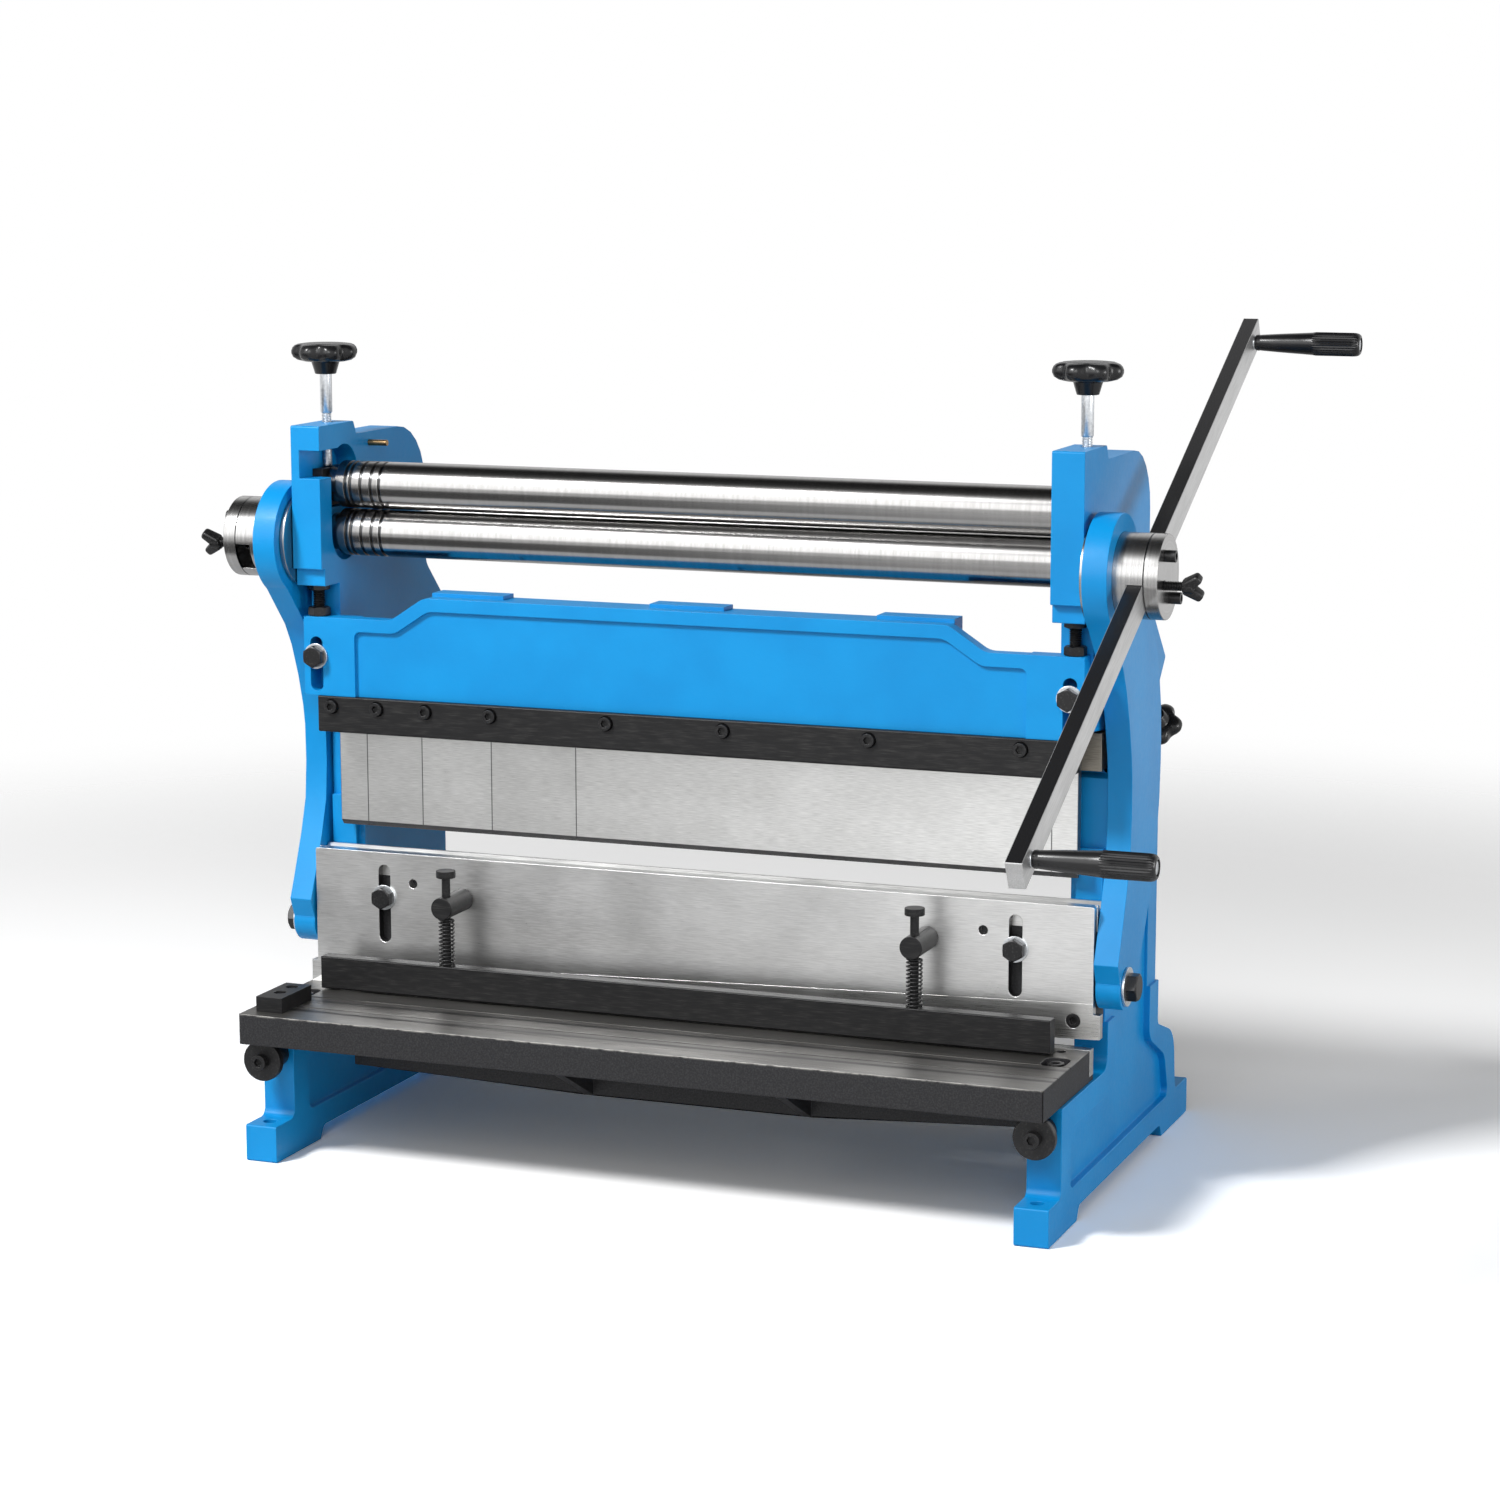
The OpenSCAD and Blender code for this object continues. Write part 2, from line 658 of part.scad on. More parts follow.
module bed_blade() color(steel) block(-table_x, table_x, table_back - bed_blade_t, table_back,
    table_top - bed_blade_h, table_top);
// Screws of the table, of the side fence and of the level discs
module table_screws() color(black) {
    both_sides() translate([table_screw_x, table_screw_y, table_top - slot_depth])
        socket_screw(screw_d, table_thick - slot_depth + screw_bite, table_head_d);
    for (y = fence_screw_sets) translate([fence_screw_x, front_y + y, fence_top - fence_sink])
        socket_screw(small_d, fence_h - fence_sink + screw_bite);
    both_sides() to_front(foot_hole_x, disc_y0, disc_z)
        socket_screw(screw_d, pedestal_y - disc_y0 + screw_bite, disc_head_d);
}
module side_fence() color(iron) difference() {
    block(fence_x0, fence_x0 + fence_w, fence_y0, fence_y0 + fence_l, table_top, fence_top);
    for (y = fence_screw_sets) {
        rod_z(small_d + 2 * screw_gap, fence_screw_x, front_y + y, table_top - cut, fence_top + cut);
        rod_z(fence_seat_d, fence_screw_x, front_y + y, fence_top - fence_sink, fence_top + cut);
    }
}
// Round discs under the front corners of the table, on sleeves from the pedestals
module level_discs() color(dark_steel) both_sides() difference() {
    union() {
        rod_y(2 * disc_r, foot_hole_x, disc_y0, disc_y0 + disc_t, disc_z);
        rod_y(sleeve_d, foot_hole_x, disc_y0 + cut, pedestal_y, disc_z);
    }
    rod_y(screw_d + 2 * screw_gap, foot_hole_x, disc_y0 - cut, pedestal_y + cut, disc_z);
}

// Upper beam casting: lugs, raised middle, sunk face, flanges and ribs
upper_web = 16;
upper_depth = 44;
lug_len = 94;
shoulder_run = 36;
sunk_in = 55;
shoulder_x = upper_x - lug_len;
crown_x = shoulder_x - shoulder_run;
sunk_x = upper_x - sunk_in;
rim_w = 13;
sunk_depth = 4;
sunk_r = 6;
upper_outline = rounded([[-upper_x, upper_low, edge_r], [upper_x, upper_low, edge_r], [upper_x, lug_top, rim_r],
    [shoulder_x, lug_top, wide_r], [crown_x, upper_top, wide_r], [-crown_x, upper_top, wide_r],
    [-shoulder_x, lug_top, wide_r], [-upper_x, lug_top, rim_r]], 6);
sunk_outline = rounded([[-sunk_x, upper_low - cut, 0], [sunk_x, upper_low - cut, 0],
    [sunk_x, lug_top - rim_w, sunk_r], [shoulder_x - rim_w / 3, lug_top - rim_w, wide_r],
    [crown_x - rim_w / 3, upper_top - rim_w, wide_r], [rim_w / 3 - crown_x, upper_top - rim_w, wide_r],
    [rim_w / 3 - shoulder_x, lug_top - rim_w, wide_r], [-sunk_x, lug_top - rim_w, sunk_r]], 6);
lug_over = 26;
top_flange_t = 14;
flange_short = 4;
pad_set = 20;
pad_h = 3;
pad_len = 76;
pad_x = crown_x - pad_len / 2;
rib_shares_x = [-1, -0.5, 0, 0.5, 1];
rib_w = 10;
rib_x = crown_x - rib_w / 2;
module upper_beam() color(blue) difference() {
    union() {
        slab_y(upper_y, upper_y + upper_web, upper_outline);
        // lugs in front of the uprights
        both_sides() block(post_in - lug_over, upper_x, upper_y + cut, lug_back, upper_low + seat_run, lug_top);
        // top and bottom flanges with ribs between them
        block(-crown_x, crown_x, upper_y + cut, upper_y + upper_depth,
            upper_top - top_flange_t, upper_top - cut);
        block(flange_short - post_in, post_in - flange_short, upper_y + cut, finger_back + backing_t,
            upper_low, upper_low + flange_t);
        for (s = rib_shares_x) let (x = s * rib_x) block(x - rib_w / 2, x + rib_w / 2, upper_y + cut,
            upper_y + upper_depth - flange_short, upper_low + cut, upper_top - 2 * cut);
        for (x = [-pad_x, 0, pad_x]) block(x - pad_len / 2, x + pad_len / 2, upper_y + pad_set,
            upper_y + upper_depth, upper_top - 2 * cut, upper_top + pad_h);
    }
    slab_y(upper_y - cut, upper_y + sunk_depth, sunk_outline);
    both_sides() {
        block(upper_bolt_x - upper_slot_w / 2, upper_bolt_x + upper_slot_w / 2, upper_y - cut, lug_back + cut,
            upper_slot_low + upper_slot_w / 2, upper_slot_high - upper_slot_w / 2);
        for (z = [upper_slot_low + upper_slot_w / 2, upper_slot_high - upper_slot_w / 2])
            rod_y(upper_slot_w, upper_bolt_x, upper_y - cut, lug_back + cut, z);
    }
    for (s = backing_screw_shares)
        rod_z(screw_d + 2 * screw_gap, s * upper_x, finger_back + backing_t / 2, upper_low - cut,
            upper_low + flange_t + cut);
}
bolt_bite = 22;
module beam_bolts() color(black) both_sides() to_front(upper_bolt_x, upper_y - washer_t, upper_bolt_z)
    hex_bolt(bolt_d, washer_t + lug_depth + bolt_bite, hex_flat, hex_h);
module beam_washers() color(zinc) both_sides()
    to_front(upper_bolt_x, upper_y, upper_bolt_z) washer(washer_d, bolt_d + screw_gap, washer_t);
// Jack bolts between the steps of the frames and the lugs, each with a lock nut
nut_h = 9;
lock_nut_h = 6;
module jack_bolts() color(black) both_sides() translate([screw_x, (upper_y + lug_back) / 2, 0]) {
    translate([0, 0, lug_top + nut_h]) cylinder(d = bolt_d, h = step_z - lug_top - nut_h);
    translate([0, 0, lug_top]) cylinder(d = hex_flat / cos(30), h = nut_h + cut, $fn = 6);
    translate([0, 0, step_low - lock_nut_h]) cylinder(d = hex_flat / cos(30), h = lock_nut_h, $fn = 6);
}

// Finger clamp bar, backing bar and the eight screws through them
clamp_sink = 3;
clamp_head_h = 7;
backing_over = 3;
module finger_clamp_bar() color(dark_steel) difference() {
    slab_x(-clamp_x, clamp_x, rounded([[clamp_y, clamp_low, edge_r], [finger_y, clamp_low, 0],
        [finger_y, upper_low, 0], [clamp_y, upper_low, fine_r]], 3));
    for (s = clamp_screw_shares) let (x = s * clamp_x) {
        rod_y(screw_d + 2 * screw_gap, x, clamp_y - cut, finger_y + cut, clamp_screw_z);
        rod_y(seat_d, x, clamp_y - cut, clamp_y + clamp_sink, clamp_screw_z);
    }
}
module clamp_screws() color(black) {
    for (s = clamp_screw_shares) to_front(s * clamp_x, clamp_y + clamp_sink, clamp_screw_z)
        socket_screw(screw_d, finger_back - clamp_y - clamp_sink + screw_bite - cut, head_h = clamp_head_h);
    for (s = backing_screw_shares) translate([s * upper_x, finger_back + backing_t / 2, upper_low + flange_t])
        socket_screw(screw_d, flange_t + screw_bite);
}
module finger_backing_bar() color(steel) difference() {
    block(-upper_x - backing_over, upper_x + backing_over, finger_back, finger_back + backing_t,
        clamp_low, upper_low);
    for (s = clamp_screw_shares)
        rod_y(screw_d + bore_gap, s * clamp_x, finger_back - cut, finger_back + screw_bite, clamp_screw_z);
    for (s = backing_screw_shares)
        rod_z(screw_d + bore_gap, s * upper_x, finger_back + backing_t / 2,
            upper_low - tap_depth, upper_low + cut);
}

// Fingers of hardened steel, side by side, with a vee tip
finger_seam = 0.2;
tip_half = 0.6;
module finger(i) color(steel) let (x0 = total(finger_widths, i) - finger_total / 2)
    slab_x(x0 + finger_seam / 2, x0 + finger_widths[i] - finger_seam / 2,
        [[finger_y, finger_top], [finger_y, finger_tip + finger_t / 2], [vee_y - tip_half, finger_tip],
        [vee_y + tip_half, finger_tip], [finger_back, finger_tip + finger_t / 2], [finger_back, finger_top]]);

// Press beam casting behind the front plate, with guide ears inside the uprights
ear_w = 12;
ear_len = 34;
ear_low = 25;
ear_high = 45;
beam_up = 8;
plate_bite = 18;
pivot_bite = 32;
vee_bite = 14;
module press_beam() color(iron) difference() {
    union() {
        slab_y(plate_y2, beam_y2, [[-beam_x, blade_low - blade_rise + beam_up], [beam_x, blade_low + beam_up],
            [beam_x, plate_top - vee_h], [-beam_x, plate_top - vee_h]]);
        both_sides() block(post_in - slide_gap - ear_w, post_in - slide_gap, beam_y2 - cut, beam_y2 + ear_len,
            pivot_z - ear_low, pivot_z + ear_high);
    }
    both_sides() {
        rod_x(pivot_d + bore_gap, beam_x - pivot_bite - cut, beam_x + cut, pivot_y, pivot_z);
        rod_y(bolt_d + bore_gap, plate_slot_x, plate_y2 - cut, plate_y2 + plate_bite, plate_bolt_z);
    }
    for (s = vee_screw_shares)
        rod_z(small_d + bore_gap, s * beam_x, vee_y, plate_top - vee_h - vee_bite, plate_top - vee_h + cut);
    for (s = blade_screw_shares) let (x = s * blade_x)
        rod_y(screw_d + bore_gap, x, plate_y2 - cut, plate_y2 + vee_bite, blade_mid(x));
}
vee_screw_shares = [-0.9, -0.45, 0, 0.45, 0.9];
vee_die_t = beam_t - 2 * cut;
module vee_die() color(steel) difference() {
    slab_x(-beam_x, beam_x, [[plate_y2, plate_top - vee_h], [plate_y2 + vee_die_t, plate_top - vee_h],
        [plate_y2 + vee_die_t, plate_top], [vee_y + vee_w / 2, plate_top], [vee_y, plate_top - vee_w / 2],
        [vee_y - vee_w / 2, plate_top], [plate_y2, plate_top]]);
    for (s = vee_screw_shares)
        rod_z(small_d + bore_gap, s * beam_x, vee_y, plate_top - vee_h - cut, plate_top - vee_h / 2);
}

// Slotted front plate with its tapped holes; its lower edge follows the rake of the blade
function seam_z(x) = seam_left + blade_rise * (x + blade_x) / (2 * blade_x);
function blade_mid(x) = seam_z(x) - blade_h / 2;
tapped_in = 31.5;
tapped_d = 9;
tapped_share = 0.7774;
tapped_x = plate_slot_x - tapped_in;
tapped_z = table_top + tapped_share * plate_h;
module front_plate() color(steel) difference() {
    slab_y(plate_y1, plate_y2, rounded([[-plate_x, seam_z(-plate_x), 0], [plate_x, seam_z(plate_x), 0],
        [plate_x, plate_top, edge_r], [-plate_x, plate_top, edge_r]], 3));
    both_sides() {
        block(plate_slot_x - plate_slot_w / 2, plate_slot_x + plate_slot_w / 2, plate_y1 - cut, plate_y2 + cut,
            plate_slot_z - plate_slot_half, plate_slot_z + plate_slot_half);
        for (s = [-1, 1]) rod_y(plate_slot_w, plate_slot_x, plate_y1 - cut, plate_y2 + cut,
            plate_slot_z + s * plate_slot_half);
        rod_y(tapped_d, tapped_x, plate_y1 - cut, plate_y2 + cut, tapped_z);
        rod_y(bolt_d + bore_gap, hold_x, plate_y1 - cut, plate_y2 + cut, boss_z);
    }
}
module plate_bolts() color(black) both_sides()
    to_front(plate_slot_x, plate_y1 - washer_t, plate_bolt_z)
        hex_bolt(bolt_d, plate_t + plate_bite, hex_flat, hex_h);
rod_washer_d = 37;
module press_washers() color(zinc) both_sides() {
    to_front(plate_slot_x, plate_y1, plate_bolt_z) washer(washer_d, bolt_d + screw_gap, washer_t);
    to_right(rod_out + slide_gap, pivot_y, pivot_z) washer(rod_washer_d, pivot_d + screw_gap, washer_t);
}
// Raked shear blade and its screws; its end is notched under the foot of the rod
notch_gap = 3;
notch_z = pivot_z - rod_foot_r - notch_gap;
blade_sink = 8;
blade_screw_shares = [-0.937, -0.4685, 0, 0.4685, 0.937];
module shear_blade() color(steel) difference() {
    slab_y(plate_y1, plate_y2, [[-blade_x, seam_left - blade_h], [blade_x, seam_right - blade_h],
        [blade_x, notch_z], [plate_x, notch_z], [plate_x, seam_z(plate_x)], [-blade_x, seam_left]]);
    for (s = blade_screw_shares) let (x = s * blade_x) {
        rod_y(screw_d + 2 * screw_gap, x, plate_y1 - cut, plate_y2 + cut, blade_mid(x));
        rod_y(seat_d, x, plate_y1 - cut, plate_y1 + blade_sink, blade_mid(x));
    }
}
module blade_screws() color(black) for (s = blade_screw_shares) let (x = s * blade_x)
    to_front(x, plate_y1 + blade_sink, blade_mid(x))
        socket_screw(screw_d, plate_t - blade_sink + vee_bite - cut, head_h = blade_sink - slide_gap);
// Round bosses that carry the hold-down bolts
boss_reach = 50;
module hold_down_bosses() color(dark_steel) both_sides() difference() {
    union() {
        rod_y(boss_d, hold_x, plate_y1 - boss_reach, plate_y1, boss_z);
        rod_y(bolt_d, hold_x, plate_y1 - cut, plate_y2, boss_z);
    }
    rod_z(hold_bolt_d + 2 * screw_gap, hold_x, hold_bolt_y, boss_z - boss_d, boss_z + boss_d);
}
rod_hex_flat = 24;
rod_hex_h = 10;
module rod_bolts() color(black) both_sides() to_right(rod_out + slide_gap + washer_t, pivot_y, pivot_z)
    hex_bolt(pivot_d, rod_out + slide_gap + washer_t - beam_x + pivot_bite, rod_hex_flat, rod_hex_h);

// Hold-down bar, its headed bolts and their springs
hold_bolt_d = 8.4;
hold_head_d = 19;
hold_head_t = 7;
hold_lift = 18.1;
hold_bite = 19;
hold_head_z = boss_z + boss_d / 2 + hold_lift;
spring_d = 16;
spring_wire = 1.8;
spring_turns = 13;
module hold_down_bar() color(dark_steel) difference() {
    slab_x(-hold_half, hold_half, rounded([
        [hold_bolt_y - hold_t / 2, hold_low, fine_r], [hold_bolt_y + hold_t / 2, hold_low, fine_r],
        [hold_bolt_y + hold_t / 2, hold_top, fine_r], [hold_bolt_y - hold_t / 2, hold_top, fine_r]], 3));
    both_sides() rod_z(hold_bolt_d + bore_gap, hold_x, hold_bolt_y, hold_top - hold_bite - cut, hold_top + cut);
}
module hold_down_bolts() color(dark_steel) both_sides() {
    rod_z(hold_bolt_d, hold_x, hold_bolt_y, hold_top - hold_bite, hold_head_z + cut);
    rod_z(hold_head_d, hold_x, hold_bolt_y, hold_head_z, hold_head_z + hold_head_t);
}
// One unbroken wire: rings of spring_sides points along the helix, closed flat at both ends
spring_sides = 6;
spring_rings = 8;
spring_low = hold_top + slide_gap;
spring_high = boss_z - boss_d / 2 - slide_gap;
spring_r = (spring_d - spring_wire) / 2;
spring_steps = spring_turns * spring_rings;
spring_rise = spring_high - spring_low - spring_wire;
spring_pitch = spring_rise / (spring_turns - 1);
// Height of the wire: the first and the last half turn lie flat
function spring_z(t) = min(max(t * spring_turns - 0.5, 0), spring_turns - 1) * spring_pitch;
function spring_ring(i) = let (t = i / spring_steps, a = 360 * t * spring_turns)
    [for (k = [0:spring_sides - 1]) let (b = 360 * k / spring_sides, r = spring_r + spring_wire / 2 * cos(b))
        [r * cos(a), r * sin(a), spring_z(t) + spring_wire / 2 * sin(b)]];
spring_points = [for (i = [0:spring_steps]) each spring_ring(i)];
spring_faces = concat([[for (k = [0:spring_sides - 1]) k]],
    [for (i = [0:spring_steps - 1], k = [0:spring_sides - 1])
        let (m = (k + 1) % spring_sides, a = i * spring_sides, b = a + spring_sides)
        each [[a + k, b + k, a + m], [a + m, b + k, b + m]]],
    [[for (k = [spring_sides - 1:-1:0]) spring_steps * spring_sides + k]]);
echo(least_gap_in_spring = spring_pitch - spring_wire);
module hold_down_springs() color(black) both_sides()
    translate([hold_x, hold_bolt_y, spring_low + spring_wire / 2]) polyhedron(spring_points, spring_faces);

// Rolls: the lower one runs through to the hubs, the upper one sits in sliding blocks
groove_share = [0.975, 0.96, 0.93, 0.90, 0.875];
roll_groove_w = 3;
roll_groove_depth = 1.2;
collar_r = 18;
shaft_end = bar_x0 - 2 * cut;
module roll_body(y, z) difference() {
    rod_x(roll_d, -roll_end, roll_end, y, z);
    for (s = groove_share) difference() {
        rod_x(roll_d + cut, -roll_end * s, -roll_end * s + roll_groove_w, y, z);
        rod_x(roll_d - 2 * roll_groove_depth, -roll_end * s - cut, -roll_end * s + roll_groove_w + cut, y, z);
    }
}
module lower_roll() color(steel) {
    roll_body(roll_y, roll_z);
    both_sides() {
        rod_x(journal_d, roll_end - cut, post_out, roll_y, roll_z);
        rod_x(shaft_d, post_out - cut, shaft_end, roll_y, roll_z);
    }
    rod_x(2 * collar_r, -post_in - gear_depth + slide_gap, -roll_end + cut, roll_y, roll_z);
}
module upper_roll() color(steel) {
    roll_body(roll_y, upper_z);
    both_sides() rod_x(journal_d, roll_end - cut, block_x1 - slide_gap, roll_y, upper_z);
    rod_x(2 * collar_r, -post_in - gear_depth + slide_gap, -roll_end + cut, roll_y, upper_z);
}
module rear_roll() color(steel) {
    rod_x(roll_d, -roll_end, roll_end, rear_y, rear_z);
    both_sides() rod_x(rear_journal_d, roll_end - cut, block_x1 - slide_gap, rear_y, rear_z);
}
rear_journal_d = 20;
module roll_bushes() color(bronze) both_sides() difference() {
    rod_x(bush_d, post_in + gear_depth, post_out, roll_y, roll_z);
    rod_x(journal_d + 2 * bore_gap, post_in, post_out + cut, roll_y, roll_z);
}

// Roll gears: involute teeth, thinned so that they still run when the upper roll is moved
gear_module = (roll_d + roll_nip) / gear_teeth;
gear_pitch_r = gear_module * gear_teeth / 2;
pressure_angle = 20;
gear_base_r = gear_pitch_r * cos(pressure_angle);
gear_tip_r = gear_pitch_r + gear_module * 0.9;
gear_root_r = gear_pitch_r - gear_module * 1.2;
gear_backlash = 0.45;
function involute(a) = tan(a) * 180 / PI - a;
function flank_angle(r) = r <= gear_base_r ? 0 : involute(acos(gear_base_r / r));
half_tooth = 90 / gear_teeth - gear_backlash / gear_pitch_r * 90 / PI + involute(pressure_angle);
flank_rs = [gear_root_r, gear_base_r, gear_base_r + (gear_tip_r - gear_base_r) * 0.3,
    gear_base_r + (gear_tip_r - gear_base_r) * 0.65, gear_tip_r];
gear_outline = [for (i = [0:gear_teeth - 1], s = [-1, 1], k = [0:len(flank_rs) - 1])
    let (r = s < 0 ? flank_rs[k] : flank_rs[len(flank_rs) - 1 - k],
        a = i * 360 / gear_teeth + s * (half_tooth - flank_angle(r))) r * [cos(a), sin(a)]];
module roll_gear(y, z, phase) difference() {
    translate([post_in + slide_gap, y, z]) rotate([90, 0, 90]) linear_extrude(gear_depth - 2 * slide_gap)
        rotate(phase) polygon(gear_outline);
    rod_x(journal_d + bore_gap, post_in - cut, post_in + gear_depth + cut, y, z);
}
module lower_gear() color(dark_steel) roll_gear(roll_y, roll_z, 90);
module upper_gear() color(dark_steel) roll_gear(roll_y, upper_z, -90 + 180 / gear_teeth);

// Sliding blocks of the upper roll and of the rear roll
module roll_blocks() color(dark_steel) both_sides() difference() {
    block(block_x0, block_x1, roll_y - block_w / 2, roll_y + block_w / 2,
        upper_z - block_low, upper_z + block_high);
    rod_x(journal_d + 2 * bore_gap, block_x0 - cut, block_x1 + cut, roll_y, upper_z);
}
module rear_blocks() color(dark_steel) both_sides() difference() {
    on_rear_axis(0) block(-rear_block_l / 2, rear_block_l / 2, -block_x1, -post_in - slide_gap,
        -rear_block_w / 2, rear_block_w / 2);
    rod_x(rear_journal_d + 2 * bore_gap, post_in - cut, block_x1 + cut, rear_y, rear_z);
}

// Pinch screws with seven-lobed knobs, on top of the roll blocks
pinch_knob_r = 34;
pinch_knob_h = 18;
pinch_reach = 59;
pinch_knob_z = frame_height + pinch_reach;
knob_hub_r = 12;
knob_hub_h = 12;
knob_sink = 6;
shank_d = 11.5;
shank_up = 9;
module pinch_knob() {
    color(zinc) {
        rod_z(pinch_d, screw_x, roll_y, upper_z + block_high + bore_gap, pinch_knob_z + knob_sink);
        rod_z(shank_d, screw_x, roll_y, frame_height + shank_up, pinch_knob_z);
    }
    color(black) translate([screw_x, roll_y, pinch_knob_z - knob_hub_h])
        star_knob(pinch_knob_r, pinch_knob_h, 7, knob_hub_r, knob_hub_h);
}
module left_pinch_knob() mirror([1, 0, 0]) pinch_knob();
module right_pinch_knob() pinch_knob();

// Rear adjusting screws with five-lobed knobs, along the slope of the rear slots
rear_knob_r = 24;
rear_knob_h = 15;
rear_knob_hub = 9;
rear_hub_r = 10;
module rear_knob() on_rear_axis(0) translate([0, -rear_screw_x, 0]) rotate([0, 90, 0]) {
    color(zinc) translate([0, 0, rear_block_l / 2 + bore_gap])
        cylinder(d = rear_screw_d, h = rear_knob_reach - rear_block_l / 2);
    color(black) translate([0, 0, rear_knob_reach - rear_knob_hub])
        star_knob(rear_knob_r, rear_knob_h, 5, rear_hub_r, rear_knob_hub);
}
module left_rear_knob() mirror([1, 0, 0]) rear_knob();
module right_rear_knob() rear_knob();

// Connecting rods: an eye on the hub, a bowed arm and a foot at the press beam
// Edges of the arm from the foot up to the eye, as shares of the height between their centres:
// the height over the foot, then the front edge and the back edge measured from the pivot
arm_shares = [[0.064, -0.075, 0.139], [0.116, -0.052, 0.172], [0.224, -0.008, 0.229], [0.312, 0.02, 0.264],
    [0.41, 0.028, 0.284], [0.503, 0.026, 0.291], [0.555, 0.018, 0.291], [0.637, -0.005, 0.285],
    [0.717, -0.036, 0.265], [0.776, -0.07, 0.241]];
rod_h = hub_z - pivot_z;
arm_front = [for (s = arm_shares) [pivot_y + s[1] * rod_h, pivot_z + s[0] * rod_h]];
arm_back = [for (i = [len(arm_shares) - 1:-1:0])
    [pivot_y + arm_shares[i][2] * rod_h, pivot_z + arm_shares[i][0] * rod_h]];
module rod_body() difference() {
    union() {
        slab_x(rod_in, rod_out, concat([[pivot_y - rod_foot_r * 0.97, pivot_z + rod_foot_r * 0.25]], arm_front,
            [[hub_y - eye_d * 0.27, hub_z - eye_d * 0.42], [hub_y, hub_z],
            [hub_y + eye_d * 0.43, hub_z + eye_d * 0.25]],
            arm_back, [[pivot_y + rod_foot_r * 1.8, pivot_z + rod_foot_r * 0.1],
            [pivot_y + rod_foot_r * 0.3, pivot_z - rod_foot_r * 0.95]]));
        rod_x(eye_d, rod_in, rod_out, hub_y, hub_z);
        rod_x(2 * rod_foot_r, rod_in, rod_out, pivot_y, pivot_z);
    }
    rod_x(hub_d + 2 * bore_gap, rod_in - cut, rod_out + cut, hub_y, hub_z);
    rod_x(pivot_d + 2 * pivot_slack, rod_in - cut, rod_out + cut, pivot_y - pivot_shift, pivot_z);
}
module left_rod() color(blue) mirror([1, 0, 0]) rod_body();
module right_rod() color(blue) rod_body();

// Eccentric hubs on the ends of the lower roll shaft, slotted for the crank bar
module along_bar(x) translate([x, hub_y, hub_z]) rotate([bar_angle, 0, 0]) children();
cap_bite = 16;
cap_head_d = 11;
cap_head_h = 10;
module hub() difference() {
    union() {
        rod_x(hub_d, rod_in - cut, hub_out, hub_y, hub_z);
        rod_x(collar_d, post_out + 2 * slide_gap, rod_in - slide_gap, hub_y, hub_z);
    }
    rod_x(shaft_d + 2 * bore_gap, post_out - cut, bar_x0 - cut, roll_y, roll_z);
    along_bar(bar_x0 - slide_gap / 2) translate([0, -hub_d, -bar_w / 2 - slide_gap / 2])
        cube([hub_d, 2 * hub_d, bar_w + slide_gap]);
    along_bar(hub_out) for (s = [-1, 1]) translate([-cap_bite, 0, s * cap_screw_r]) rotate([0, 90, 0])
        cylinder(d = small_d + bore_gap, h = cap_bite + cut);
}
module left_hub() color(steel) mirror([1, 0, 0]) hub();
module right_hub() color(steel) hub();
module hub_caps() color(steel) both_sides() difference() {
    rod_x(hub_d, hub_out, cap_out, hub_y, hub_z);
    along_bar(hub_out - cut) {
        for (s = [-1, 1]) translate([0, 0, s * cap_screw_r]) rotate([0, 90, 0])
            cylinder(d = small_d + 2 * screw_gap, h = cap_t + 2 * cut);
        translate([0, -lock_r, 0]) rotate([0, 90, 0]) cylinder(d = lock_d + 2 * bore_gap, h = cap_t + 2 * cut);
    }
}
module cap_screws() color(black) both_sides() along_bar(cap_out) for (s = [-1, 1])
    translate([0, 0, s * cap_screw_r]) rotate([0, 90, 0])
        socket_screw(small_d, cap_t + cap_bite - cut, cap_head_d, cap_head_h);

// Crank bar through the right hub, with a stud for each grip
stud_d = 8;
module crank_bar() color(dark_steel) difference() {
    along_bar(bar_x0) slab_x(0, bar_t, rounded([
        [-bar_len / 2, -bar_w / 2, fine_r], [bar_len / 2, -bar_w / 2, fine_r],
        [bar_len / 2, bar_w / 2, fine_r], [-bar_len / 2, bar_w / 2, fine_r]], 2));
    along_bar(bar_x0 - cut) for (s = [-1, 1]) translate([0, s * grip_r, 0]) rotate([0, 90, 0])
        cylinder(d = stud_d + bore_gap, h = bar_t + 2 * cut);
}
grip_gap = 1.5;
grip_recess = 5;
grip_edge = 2.5;
stud_head_d = 12;
stud_head_t = 3;
stud_collar_d = 14;
module handle_studs() color(zinc) along_bar(bar_x0) for (s = [-1, 1])
    translate([0, s * grip_r, 0]) rotate([0, 90, 0]) {
        cylinder(d = stud_d, h = bar_t + grip_gap + grip_len - stud_head_t);
        translate([0, 0, bar_t]) cylinder(d = stud_collar_d, h = grip_gap - slide_gap);
        translate([0, 0, bar_t + grip_gap + grip_len - stud_head_t - cut])
            cylinder(d = stud_head_d, h = stud_head_t);
    }
